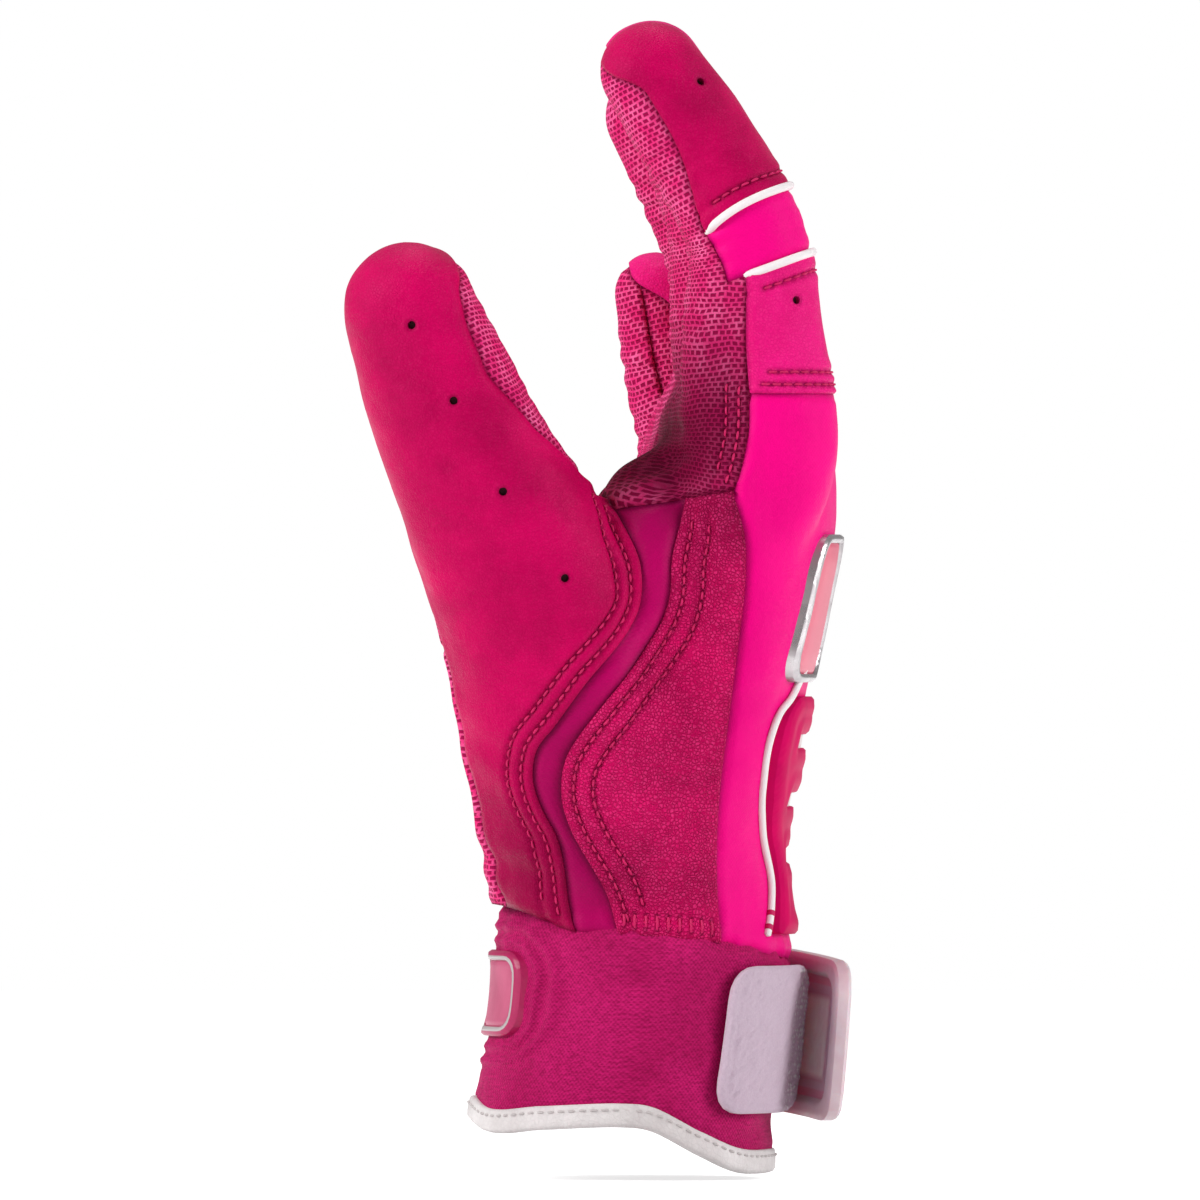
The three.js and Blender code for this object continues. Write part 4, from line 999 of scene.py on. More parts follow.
def chains(pairs):
    """Joins pairs of keys into the longest lines that they form"""
    beside = {}
    for a, b in pairs:
        beside.setdefault(a, []).append(b)
        beside.setdefault(b, []).append(a)
    seen, lines = set(), []
    starts = [k for k in beside if len(beside[k]) != 2] + list(beside)
    for start in starts:
        if start in seen:
            continue
        line = [start]
        seen.add(start)
        while True:
            after = [k for k in beside[line[-1]] if k not in seen]
            if not after:
                break
            line.append(after[0])
            seen.add(after[0])
        lines.append(line)
    return lines


def level_lines(points, faces, value, level):
    """Lines on a mesh where a value passes a level"""
    above = value > level
    mixed = faces[(above[faces].sum(1) % 3) > 0]
    crossing, pairs = {}, []
    for face in mixed:
        ends = []
        for a, b in ((face[0], face[1]), (face[1], face[2]), (face[2], face[0])):
            if above[a] != above[b]:
                key = (min(a, b), max(a, b))
                if key not in crossing:
                    share = (level - value[key[0]]) / (value[key[1]] - value[key[0]])
                    crossing[key] = points[key[0]] + share * (points[key[1]] - points[key[0]])
                ends.append(key)
        pairs.append(ends)
    return [np.array([crossing[key] for key in line]) for line in chains(pairs) if len(line) > 4]


def resample(line, step):
    arc = arc_lengths(line)
    count = max(2, int(arc[-1] / step) + 1)
    return along_line(line, arc, np.linspace(0, arc[-1], count))


def even_line(line, step, rounds=6):
    line = resample(line, step)
    for _ in range(rounds):
        line[1:-1] += 0.5 * ((line[:-2] + line[2:]) / 2 - line[1:-1])
    return line


def tube(line, radius, sides=8):
    """A cord along a line, with closed round ends"""
    tangent = np.gradient(line, axis=0)
    tangent /= np.maximum(np.linalg.norm(tangent, axis=1), 1e-9)[:, None]
    up = np.cross(tangent[0], [0.31, 0.77, 0.55])
    angle = np.linspace(0, 2 * math.pi, sides, endpoint=False)
    radius = np.broadcast_to(radius, len(line))
    rings, normals = [], []
    for point, way, size in zip(line, tangent, radius):
        up = up - way * (up @ way)
        up /= np.linalg.norm(up)
        ring = np.cos(angle)[:, None] * up + np.sin(angle)[:, None] * np.cross(way, up)
        rings.append(point + ring * size)
        normals.append(ring)
    ends = [line[0] - tangent[0] * radius[0] * 0.6, line[-1] + tangent[-1] * radius[-1] * 0.6]
    points = np.vstack([*rings, ends])
    normals = np.vstack([*normals, [-tangent[0], tangent[-1]]])
    faces = []
    for i in range(len(line) - 1):
        for j in range(sides):
            a, b = i * sides + j, i * sides + (j + 1) % sides
            faces += [(a, b, b + sides), (a, b + sides, a + sides)]
    last = (len(line) - 1) * sides
    for j in range(sides):
        k = (j + 1) % sides
        faces += [(len(points) - 2, k, j), (len(points) - 1, last + j, last + k)]
    return points, np.array(faces), normals


class Piece:
    """Collects the meshes of one visible piece, with what its materials need at each corner"""

    def __init__(self, name, *materials):
        self.name, self.materials = name, materials
        self.parts = []

    def add(self, points, faces, normals=None, material=0, weave=None, shade=None):
        points = np.asarray(points, float)
        faces = np.asarray(faces, int)
        if normals is None:
            normals = vertex_normals(points, faces)
        weave = points if weave is None else weave
        shade = np.zeros(len(points)) if shade is None else shade
        self.parts.append((points, faces, normals, np.full(len(faces), material), weave, shade))
        return self

    def build(self):
        shift, faces = 0, []
        for part in self.parts:
            faces.append(part[1] + shift)
            shift += len(part[0])
        points, normals, weave = (np.vstack([part[k] for part in self.parts]) for k in (0, 2, 4))
        shade = np.concatenate([part[5] for part in self.parts])
        materials = np.concatenate([part[3] for part in self.parts])
        faces = np.vstack(faces)
        mesh = bpy.data.meshes.new(self.name)
        mesh.vertices.add(len(points))
        mesh.vertices.foreach_set("co", (points * METRE).astype(np.float32).ravel())
        mesh.loops.add(faces.size)
        mesh.loops.foreach_set("vertex_index", faces.astype(np.int32).ravel())
        mesh.polygons.add(len(faces))
        mesh.polygons.foreach_set("loop_start", np.arange(0, faces.size, 3, dtype=np.int32))
        mesh.polygons.foreach_set("material_index", materials.astype(np.int32))
        for material in self.materials:
            mesh.materials.append(material)
        mesh.update(calc_edges=True)
        mesh.validate()
        for name, key, values in (("rest", "vector", points), ("weave", "vector", weave),
                                  ("shade", "value", shade)):
            kind = "FLOAT_VECTOR" if key == "vector" else "FLOAT"
            attribute = mesh.attributes.new(name, kind, "POINT")
            attribute.data.foreach_set(key, np.asarray(values, np.float32).ravel())
        mesh.shade_smooth()
        lengths = np.linalg.norm(normals, axis=1)
        normals = np.where(lengths[:, None] > 0.5, normals, [0, 0, 1])
        mesh.normals_split_custom_set_from_vertices(normals)
        piece = bpy.data.objects.new(self.name, mesh)
        bpy.context.scene.collection.objects.link(piece)
        return piece


def stitches(piece, line, tree, normals, material=1, length=1.35):
    """Sews a row along a line on the skin, and returns where the needle went through"""
    pitch, radius = mm("stitch_pitch"), mm("stitch_radius")
    line = even_line(line, 0.4, 4)
    arc = arc_lengths(line)
    holes = []
    for start in np.arange(pitch * 0.3, arc[-1] - length, pitch):
        places = start + length * np.array([0, 0.12, 0.35, 0.65, 0.88, 1])
        points = along_line(line, arc, places)
        normal = normals[tree.find(points[2])[1]]
        points += normal * np.array([-0.32, -0.02, 0.1, 0.1, -0.02, -0.32])[:, None]
        holes += [points[0] + 0.32 * normal, points[-1] + 0.32 * normal]
        thread = tube(points, radius * np.array([0.8, 1, 1.1, 1.1, 1, 0.8]), 6)
        piece.add(*thread, material=material)
    return holes


# The leather and cloth: folds, seams, stitches


def crease_rows(distance, centres, gap, width):
    """Three creases side by side at each centre"""
    total = np.zeros(len(distance))
    for centre in centres:
        for shift, size in ((-gap, 0.6), (0, 1), (gap, 0.6)):
            total -= size * bump(distance - centre - shift, width)
            total += 0.5 * size * bump(distance - centre - shift - gap / 2, width)
    return total


def folds(points, fingers, thumb):
    """How far the leather bulges out or sinks in before it is sewn"""
    rise = 0.2 * waves(points, 26, 1) + 0.06 * waves(points, 9, 2)
    x, y, z = points.T
    for finger in fingers:
        near = (np.abs(y - finger.pivot[1]) < 11.5) & (z > finger.base_height - 22) & (x > -15)
        near = np.flatnonzero(near)
        distance, depth, across, half_depth, _ = finger.locate(points[near])
        front = smooth_step(-depth / half_depth, 0.1, 0.6)
        wobble = 0.8 * np.sin(across * 0.35 + finger.pivot[1])
        joints = [finger.distances[2] + 3, finger.distances[3], finger.distances[4] - 1]
        rise[near] += 0.42 * front * crease_rows(distance + wobble, joints, 4.2, 0.95)
        back = smooth_step(depth / half_depth, 0.2, 0.7)
        rise[near] += 0.16 * back * crease_rows(distance, [finger.distances[3]], 3.4, 0.9)
    near = np.flatnonzero((x < 8) & (y < 14))
    distance, depth, across, half_depth, _ = thumb.locate(points[near])
    side = smooth_step(-depth / half_depth, -0.3, 0.4)
    wobble = 1.3 * np.sin(across * 0.22)
    joints = [thumb.distances[3] - 1, thumb.distances[4] - 6]
    rise[near] += 0.2 * side * crease_rows(distance + wobble, joints, 4.6, 1.0)
    crotch = bump(np.linalg.norm(points - [8, -20, 134], axis=1), 17) * (y < -6)
    rise += 0.7 * crotch * ripples(z - 0.55 * x, points, 2, 30, 3, 6.5)
    heel = bump(np.linalg.norm(points - [-22, -20, 62], axis=1), 24)
    rise += 0.35 * heel * ripples(z + 0.5 * x, points, 2.5, 34, 4, 10)
    middle = bump(np.linalg.norm(points - [4, -30, 96], axis=1), 20)
    rise += 0.22 * middle * ripples(z - 0.3 * x, points, 3, 36, 5, 9)
    above = z - height_line(WRIST_SEAM_SHARES)(x)
    pucker = np.exp(-np.maximum(above, 0) / 5)
    rise += 0.28 * pucker * ripples(x + 0.6 * y, points, 1.5, 18, 6, 7)
    return rise


# Hollows of the form that are evened out: centre, reach and rounds
SMOOTHED_PLACES = [((11, -27, 94), 17, 220), ((4, -22, 130), 10, 60)]


def sewn_skin(fingers, thumb):
    """The outside of the glove as one mesh, folded, cut into panels and fine at its seams"""
    points, faces = union_skin(fingers, thumb)
    points = smooth_points(points, faces, 8)
    for centre, reach, rounds in SMOOTHED_PLACES:
        near = bump(np.linalg.norm(points - centre, axis=1), reach)
        points = smooth_points(points, faces, rounds, near, 0.0)
    points += vertex_normals(points, faces) * folds(points, fingers, thumb)[:, None]
    skin = Skin(points, faces, vertex_normals(points, faces))
    cut_panels(skin, fingers, thumb)
    relax(skin)
    touch = touching(skin)
    border = touch.sum(1) > 1
    border[border_edges(skin.faces).ravel()] = True
    tree = border_tree(skin.points[border])
    fine, coarse = mm("seam_detail") * 1.4, mm("voxel") * 1.7
    skin.refine(lambda middle: np.where(distance_to(tree, middle) < SEAM_BAND, fine, coarse))
    return skin


WEAVE_RADIUS = 28.0


def weave_of(kind, points, digit):
    """Millimetres across and along a panel, for the rows of its material"""
    back, depth, breadth, _ = hand_section(points[:, 2])
    angle = np.arctan2(points[:, 1] / breadth, (back - points[:, 0]) / depth)
    if digit is None:
        return np.stack([angle * WEAVE_RADIUS, points[:, 2], np.zeros(len(points))], -1)
    distance, to_back, across, half_depth, half_width = digit.locate(points)
    front = to_back if kind == "thumb_back" else -to_back
    angle = np.arctan2(across / half_width, front / half_depth)
    return np.stack([angle * (half_depth + half_width) / 2, distance, np.zeros(len(points))], -1)


def bar_stitches(piece, panels):
    """A row of short upright stitches that tacks the wrap to the cuff"""
    tree = border_tree(panels.points)
    others = [gap for key, gap in panels.gaps.items() if key[1] != "cuff"]
    up = np.linspace(-1.15, 1.15, 6)[:, None] * [0, 0, 1]
    lift = np.array([-0.3, 0.0, 0.1, 0.1, 0.0, -0.3])[:, None]
    for line in level_lines(panels.points, panels.faces, panels.gaps["turned", "cuff"], 2.6):
        for point in resample(line, 2.0):
            nearest = tree.find(point)[1]
            if min(gap[nearest] for gap in others) > 1.5:
                places = point + up + panels.normals[nearest] * lift
                piece.add(*tube(places, mm("stitch_radius") * 1.1, 6), material=1)
                for end in (-1.35, 1.35):
                    panels.prick(tree, point + [0, 0, end])
    panels.place()


class Panels:
    """A group of panels that are one piece of leather, made ready to be split into pieces"""

    def __init__(self, skin, names):
        own = [skin.names.index(name) for name in names]
        picked = np.isin(skin.panel, own)
        used, self.faces = packed(skin.faces[picked])
        self.panel = skin.panel[picked]
        self.base, self.normal = skin.points[used], skin.normals[used]
        self.skin, self.kind = skin, panel_kind(names[0])
        touch = touching(skin)[used]
        self.gaps = {}
        for other in np.flatnonzero(touch.any(0)):
            if other not in own and touch[:, other].any():
                tree = border_tree(self.base[touch[:, other]])
                kind = (seam_kind(names[0], skin.names[other]), panel_kind(skin.names[other]))
                gap = distance_to(tree, self.base)
                self.gaps[kind] = np.minimum(gap, self.gaps[kind]) if kind in self.gaps else gap
        edge = np.zeros(len(skin.data), bool)
        edge[border_edges(skin.faces).ravel()] = True
        if edge[used].any():
            tree = border_tree(self.base[edge[used]])
            self.gaps["turned", "cuff"] = distance_to(tree, self.base)
        self.rise, self.shade = np.zeros(len(used)), np.zeros(len(used))
        # Rise beside each kind of seam, and painted shade there
        for kind in {key[0] for key in self.gaps}:
            gap = np.min([value for key, value in self.gaps.items() if key[0] == kind], axis=0)
            rise, shade = relief(kind, gap)
            self.rise += rise
            self.shade = np.maximum(self.shade, shade)
        # Painted shade in hollows and folds, at each listed place
        for kinds, centre, reach, dark in PAINTED_SHADE_PLACES:
            if self.kind in kinds:
                gap = (self.base - centre) / reach
                self.shade += dark * np.exp(-(gap**2).sum(1))
        self.shade = np.clip(self.shade, 0, 1)
        self.nearest = np.min(list(self.gaps.values()), axis=0)
        self.place()

    def place(self):
        self.points = self.base + self.normal * self.rise[:, None]
        self.normals = vertex_normals(self.points, self.faces)

    def rows(self):
        """The stitch rows: how far each corner is from its row's own seam, and the offset"""
        for kind, others, offsets in STITCH_ROWS:
            found = [self.gaps[key] for key in self.gaps if key[1] in others]
            if kind == self.kind and found:
                gap = np.min(found, axis=0)
                for offset in offsets:
                    yield gap, offset

    def sew(self, piece):
        rows = list(self.rows())
        for gap, offset in rows:
            self.rise -= 0.26 * bump(gap - offset, 0.8)
            self.rise += 0.12 * bump(gap - offset - 1.5, 0.9)
        self.place()
        tree = border_tree(self.points)
        holes = []
        for gap, offset in rows:
            for line in level_lines(self.points, self.faces, gap, offset):
                clear = np.array([self.nearest[tree.find(point)[1]] for point in line])
                line = line[clear > offset * 0.86]
                if len(line) > 12:
                    holes += stitches(piece, line, tree, self.normals)
        for hole in holes:
            self.prick(tree, hole)
        if holes:
            self.place()
        return self

    def prick(self, tree, hole):
        """The dent of one needle hole, and painted shade in it"""
        for _, i, gap in tree.find_range(hole, 1.3):
            dent = bump(gap, 0.55)
            self.rise[i] -= 0.26 * dent
            self.shade[i] = min(1.0, max(self.shade[i], dent) + 0.15 * dent)

    def give(self, piece, names, weave, depth=1.3):
        """Adds the faces of some panels to a piece, with a skirt down from every seam"""
        own = [self.skin.names.index(name) for name in names]
        picked = np.isin(self.panel, own)
        used, faces = packed(self.faces[picked])
        piece.add(self.points[used], faces, self.normals[used], 0, weave[used], self.shade[used])
        inner = self.nearest < 1e-6
        edge = border_edges(self.faces[picked])
        edge = edge[inner[edge].all(1)]
        if len(edge):
            corners, edge = packed(edge)
            top, down = self.points[corners], self.normal[corners]
            levels = [top, top - 0.35 * down, top - depth * down]
            # Painted shade down each skirt, darker deeper in the gap between panels
            shade = np.repeat([0.35, 0.7, 0.95], len(corners))
            weaves = np.tile(weave[corners], (3, 1))
            piece.add(*skirt(edge, levels), None, 0, weaves, shade)


def fit(piece, slot, nodes, body="glove_body", digit=None):
    """Builds a piece, moves it with a body or bakes it in place when a digit is given, and shows
    it for its nodes
    """
    shape = piece.build()
    if digit is None:
        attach(shape, body)
    else:
        low, high = BLEND_REACH[digit.name]
        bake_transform(shape)
    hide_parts(*nodes)


def skin_pieces(skin, fingers, thumb, looks):
    """Every leather and cloth panel of the hand as a piece"""
    thread = looks["thread"]
    grips = [f"{finger.name}_grip" for finger in fingers]
    web = WEB_HEIGHT_SHARE * mm("knuckle_height")
    leather = Panels(skin, ["palm", *grips])
    palm = Piece("palm_leather", looks["leather_grip"], thread)
    leather.sew(palm)
    weave = weave_of("grip", leather.base, None)
    for finger in fingers:
        near = np.abs(leather.base[:, 1] - finger.pivot[1]) < mm("finger_pitch") / 2
        near[finger.pivot[1] * leather.base[:, 1] > finger.pivot[1] ** 2] |= finger in (
            fingers[0], fingers[-1])
        near &= (leather.base[:, 2] > web - 4) & (leather.base[:, 0] > -16)
        own = weave_of("grip", leather.base[near], finger)
        low = leather.base[near][:, 2] < web + 2
        own += np.median((weave[near] - own)[low], axis=0)
        reach = smooth_step(leather.base[near][:, 2], web - 4, web + 1)[:, None]
        weave[near] += (own - weave[near]) * reach
    leather.give(palm, ["palm"], weave)
    fit(palm, "leather_grip", ["palm"])
    for finger, grip in zip(fingers, grips):
        piece = Piece(f"{grip}_leather", looks["leather_grip"], thread)
        leather.give(piece, [grip], weave)
        nodes = [f"{finger.name}_tip_front", f"{finger.name}_crease"]
        fit(piece, "leather_grip", nodes, digit=finger)
    singles = {"thumb_grip": ("leather_grip", thumb, ["thumb_front", "thumb_flex_front",
                                                      "thumb_tip_front"]),
               "thumb_back": ("leather_smooth", thumb, ["thumb_back", "thumb_flex_back",
                                                        "thumb_tip_back"]),
               "palm_wrap": ("leather_grain", None, ["palm_wrap"]),
               "thumb_gusset": ("strip_cloth", None, ["thumb_gusset"]),
               "hand_back": ("stretch_cloth", None, ["hand_back"])}
    for i, finger in enumerate(fingers):
        # Finger backs past the index tip take the lighter copy of the smooth leather: painted
        # light
        for part, look in (("tip_back", "leather_smooth_lit" if i else "leather_smooth"),
                           ("base_back", "leather_smooth_lit"), ("knuckle_gusset", "stretch_cloth")):
            name = f"{finger.name}_{part}"
            singles[name] = (look, finger, [name])
        if i > 0:
            singles[f"{finger.name}_radial_wall"] = ("leather_grip", finger, [])
        if i < 3:
            wall = f"fourchette_{finger.name}_{fingers[i + 1].name}"
            singles[f"{finger.name}_ulnar_wall"] = ("leather_grip", finger, [wall])
    for name, (look, digit, nodes) in singles.items():
        panels = Panels(skin, [name])
        piece = Piece(f"{name}_panel", looks[look], thread, looks["vent_dark"])
        panels.sew(piece)
        if name == "palm_wrap":
            bar_stitches(piece, panels)
        panels.give(piece, [name], weave_of(panels.kind, panels.base, digit))
        vent = f"{name}_vent"
        if vent in skin.names:
            floor = Panels(skin, [vent])
            # A dark sheet sunk under each vent: painted shadow inside the hole
            piece.add(floor.base - 1.15 * floor.normal, floor.faces, floor.normals, 2)
        # The painted-lit copy of the smooth leather fills the smooth leather's slot
        slot = {"leather_smooth_lit": "leather_smooth", "strip_cloth": "gusset_cloth"}.get(look, look)
        fit(piece, slot, nodes, digit=digit)


def shared_lines(skin, first, second):
    """The seam between two panels as a line, with its normals"""
    touch = touching(skin)
    a, b = skin.names.index(first), skin.names.index(second)
    edges, _ = edges_of(skin.faces)
    both = touch[:, a] & touch[:, b]
    pairs = edges[both[edges].all(1)]
    line = max(chains(map(tuple, pairs)), key=len)
    return skin.points[line], skin.normals[line]


def finger_pipings(skin, fingers, looks):
    for finger in fingers:
        name = finger.name
        for part, panels in (("upper", ("tip_back", "knuckle_gusset")),
                             ("lower", ("base_back", "knuckle_gusset"))):
            line, normals = shared_lines(skin, *(f"{name}_{panel}" for panel in panels))
            place = np.linspace(0, 1, len(line))
            dive = smooth_step(np.minimum(place, 1 - place), 0, 0.06)
            line = line + normals * (0.45 * dive - 1.0 * (1 - dive))[:, None]
            piece = Piece(f"{name}_{part}_cord", looks["piping_white"])
            piece.add(*tube(even_line(line, 0.6, 5), mm("piping_radius"), 12))
            fit(piece, "piping_white", [f"{name}_{part}_piping"], digit=finger)


# Moulded trim: plates with rounded outlines that follow the hand or the wrist


def rounded(outline, radius, steps=6):
    """A closed outline with its corners cut to curves"""
    points = np.array(outline, float)
    curve = []
    for before, corner, after in zip(np.roll(points, 1, 0), points, np.roll(points, -1, 0)):
        ends = []
        for other in (before, after):
            way = other - corner
            far = np.linalg.norm(way)
            ends.append(corner + way / far * min(radius, far * 0.45))
        for t in np.linspace(0, 1, steps):
            curve.append((1 - t) ** 2 * ends[0] + 2 * t * (1 - t) * corner + t * t * ends[1])
    return np.array(curve)


def rectangle(low, high, radius):
    """A rounded outline between two opposite corners"""
    (left, bottom), (right, top) = low, high
    return rounded([[left, bottom], [right, bottom], [right, top], [left, top]], radius)


def inside_by(outline, points):
    """How far flat points are inside a closed outline, negative outside"""
    flat = points[:, :2]
    best, inside = np.full(len(flat), np.inf), np.zeros(len(flat), bool)
    for (ax, ay), (bx, by) in zip(outline, np.roll(outline, -1, 0)):
        rest = from_segment(flat, [ax, ay], np.array([bx - ax, by - ay]))
        best = np.minimum(best, (rest**2).sum(1))
        if ay != by:
            passes = (flat[:, 1] > ay) != (flat[:, 1] > by)
            inside ^= passes & (flat[:, 0] < ax + (flat[:, 1] - ay) * (bx - ax) / (by - ay))
    return np.sqrt(best) * np.where(inside, 1, -1)


def plate(piece, outline, place, low, high, step=0.6, windows=(), bevel=0.5, shade=None,
          bottom=False):
    """A plate between two heights over a surface; low and high are numbers or functions"""
    first, last = outline.min(0) - step, outline.max(0) + step
    counts = np.ceil((last - first) / step).astype(int)
    across, up = (np.linspace(first[k], last[k], counts[k] + 1) for k in (0, 1))
    grid = np.stack(np.meshgrid(across, up, indexing="ij"), -1).reshape(-1, 2)
    faces = grid_faces(len(across), len(up))
    flat = np.hstack([grid, np.zeros((len(grid), 1))])
    skin = Skin(flat, faces, np.tile([0.0, 0.0, 1.0], (len(flat), 1)))
    skin.keep(lambda p: inside_by(outline, p))
    for window in windows:
        skin.keep(lambda p, window=window: -inside_by(window, p))
    used, faces = packed(skin.faces)
    flat = skin.points[used]
    edge_gap = np.min([inside_by(outline, flat), *[-inside_by(w, flat) for w in windows]], axis=0)
    edge_gap = np.maximum(edge_gap, 0)
    tops = high(flat, edge_gap) if callable(high) else np.full(len(flat), float(high))
    floors = low(flat, edge_gap) if callable(low) else np.full(len(flat), float(low))
    fall = bevel * (1 - np.sqrt(1 - (1 - np.clip(edge_gap / bevel, 0, 1)) ** 2))
    u, v = flat[:, 0], flat[:, 1]
    top = place(u, v, tops - fall)
    normals = vertex_normals(top, faces)
    if (normals * (place(u, v, tops + 1) - place(u, v, tops))).sum() < 0:
        faces, normals = faces[:, ::-1], -normals
    tone = shade(flat, edge_gap) if shade else np.zeros(len(flat))
    piece.add(top, faces, normals, 0, flat, tone)
    corners, edge = packed(border_edges(faces))
    down = (0, 0.5, 1) if bottom else (0, 1)
    levels = [top[corners] * (1 - t) + place(u[corners], v[corners], floors[corners]) * t
              for t in down]
    piece.add(*skirt(edge, levels), None, 0, np.tile(flat[corners], (len(down), 1)),
              np.tile(tone[corners], len(down)))
    if bottom:
        piece.add(place(u, v, floors), faces[:, ::-1], None, 0, flat, tone)


def mould(name, looks, look, node, *shape, slot=None, body="glove_body", **more):
    """Fits a plate as one piece with one finish"""
    piece = Piece(name, looks[look])
    plate(piece, *shape, **more)
    fit(piece, slot or look, [node], body)


def grid_faces(columns, rows, closed=False):
    """Triangles of a grid of points, column by column"""
    faces = []
    for i in range(columns if closed else columns - 1):
        for j in range(rows - 1):
            a, b = i * rows + j, ((i + 1) % columns) * rows + j
            faces += [(a, b, b + 1), (a, b + 1, a + 1)]
    return np.array(faces)


PANEL_EDGE_SHARES = [[0.332, 0.21], [0.378, 0.17], [0.411, 0.16], [0.476, 0.222], [0.532, 0.285],
                     [0.6, 0.325], [0.64, 0.318], [0.662, 0.27]]
BACK_CORD_TOP_SHARE = [0.7, 0.215]
SLOT_HEIGHT_SHARES = (0.441, 0.519, 0.6)
SLOT_SIZE, SLOT_CORNER = (0.66, 2.6), 1.1
CORD_SIDES, CORD_BANDS = 14, (0.025, 0.08)
BADGE_SIZE = (27.6, 28.5)
BADGE_ACROSS_SHARE, BADGE_CLEARANCE = -0.2, 2.3
BADGE_OUTLINE_SHARES = [[-0.36, 0.5], [0.36, 0.5], [0.45, 0.3], [0.5, -0.36], [0.42, -0.5],
                        [-0.42, -0.5], [-0.5, -0.36], [-0.45, 0.3]]
PATCH_SIZE = (31.0, 16.0)
PATCH_SHARE = (-0.075, 0.25)
WRIST_RADIUS_SHARE = 0.36


def panel_outline(grow):
    edge = []
    for i, (height, half) in enumerate(PANEL_EDGE_SHARES):
        end = -grow if i == 0 else (grow if i == len(PANEL_EDGE_SHARES) - 1 else 0)
        edge.append([half * mm("hand_breadth") + grow, height * mm("knuckle_height") + end])
    mirrored = [[-y, z] for y, z in reversed(edge)]
    return rounded(edge + mirrored, 2.2)


def wrist_panel(looks):
    """White cloth under a moulded plate with three slots, between two cords"""
    mould("wrist_panel_cloth", looks, "underlay_cloth", "wrist_underlay", panel_outline(-1.3),
          back_of_hand, -0.4, 1.3, 0.8)
    rows = [share * mm("knuckle_height") for share in SLOT_HEIGHT_SHARES]
    slots = []
    for share, height in zip(SLOT_HEIGHT_SHARES, rows):
        half = SLOT_SIZE[0] * smooth_row(PANEL_EDGE_SHARES, share)[0, 0] * mm("hand_breadth")
        tall = SLOT_SIZE[1] / 2
        slots.append(rectangle((-half, height - tall), (half, height + tall), SLOT_CORNER))

    def crown(flat, gap):
        ribs = sum(bump(flat[:, 1] - height, 2.6) for height in rows)
        rim = 0.35 * smooth_step(gap, 0.3, 2.2) - 0.25 * smooth_step(gap, 2.2, 5)
        return 2.2 + rim + 0.2 * ribs

    mould("wrist_panel_moulding", looks, "panel_rubber", "wrist_panel", panel_outline(0),
          back_of_hand, 0.15, crown, 0.6, slots, 0.55)
    radius = mm("hand_piping_radius")
    for name, side in (("radial", -1), ("ulnar", 1)):
        table = np.array([*PANEL_EDGE_SHARES, BACK_CORD_TOP_SHARE])
        height = table[:, 0] * mm("knuckle_height")
        across = side * (table[:, 1] * mm("hand_breadth") + 1.9 * radius)
        flat = centripetal(np.stack([across, height], 1), 10)
        line = even_line(back_of_hand(flat[:, 0], flat[:, 1], radius * 0.75), 0.5, 4)
        piece = Piece(f"{name}_back_cord", looks["piping_white"], looks["thread"])
        piece.add(*tube(line, radius, CORD_SIDES))
        for place in CORD_BANDS:
            at = int(place * len(line))
            band = even_line(line[at - 1:at + 2], 0.4, 1)
            piece.add(*tube(band, radius * 1.12, CORD_SIDES), material=1)
        fit(piece, "piping_white", [f"{name}_back_piping"])


def badge(looks):
    """A bright raised frame round a bare pink plate on the back of the hand"""
    panel_top = PANEL_EDGE_SHARES[-1][0] * mm("knuckle_height")
    centre = panel_top + BADGE_CLEARANCE + BADGE_SIZE[1] / 2

    def outline(inset, radius):
        width, height = BADGE_SIZE[0] - 2 * inset, BADGE_SIZE[1] - 2 * inset
        return rounded([[BADGE_ACROSS_SHARE * mm("hand_breadth") + a * width, centre + b * height]
                        for a, b in BADGE_OUTLINE_SHARES], radius)

    mould("badge_rim", looks, "trim_silver", "badge_frame", outline(0.4, 3.5), back_of_hand, -0.3,
          1.9, 0.5, [outline(2.0, 3.0)], 0.7)
    mould("badge_plate", looks, "trim_pink", "badge_insert", outline(1.9, 3.0), back_of_hand,
          -0.3, lambda flat, gap: 1.2 + 0.25 * smooth_step(gap, 0.5, 4), 0.6, (), 0.4)


def on_palm_side(across, height, lift):
    """Points on the palm side of the cuff"""
    back, depth, breadth = cuff_section(height)
    lift = lift + 0.4
    share = np.clip(np.abs(across) / (breadth + lift), 0, 1)
    rise = (1 - share**ROUNDNESS) ** (1 / ROUNDNESS)
    return np.stack([back - (depth + lift) * rise, across, height], -1)


def patch_outline(grow, radius):
    across, height = PATCH_SHARE[0] * mm("hand_breadth"), PATCH_SHARE[1] * mm("knuckle_height")
    half, tall = PATCH_SIZE[0] / 2 + grow, PATCH_SIZE[1] / 2 + grow
    return rectangle((across - half, height - tall), (across + half, height + tall), radius)


def patch(looks):
    """A banded rubber rim round a bare plate on the palm side of the cuff"""
    def line(flat, gap):
        return bump(inside_by(patch_outline(0, 5), flat) - 1.35, 0.4)

    mould("patch_rim", looks, "trim_patch", "patch_frame", patch_outline(0, 5), on_palm_side, -0.3,
          1.5, 0.4, [patch_outline(-1.9, 3.6)], 0.6, shade=line, slot="trim_silver")
    mould("patch_plate", looks, "patch_pink", "patch_insert", patch_outline(-1.8, 3.6),
          on_palm_side, -0.3, 1.0, 0.6, (), 0.3, slot="trim_pink")


# The cuff and its binding


def edge_heights(angle, line, add):
    """Heights on the wrist where its side view meets a line"""
    height = np.full(len(angle), 12.0)
    for _ in range(6):
        height = line(wrist_point(angle, height, 0.0)[:, 0]) + add
    return height


CUFF_COLUMNS, CUFF_ROWS, LINING_ROWS = 460, 68, 14
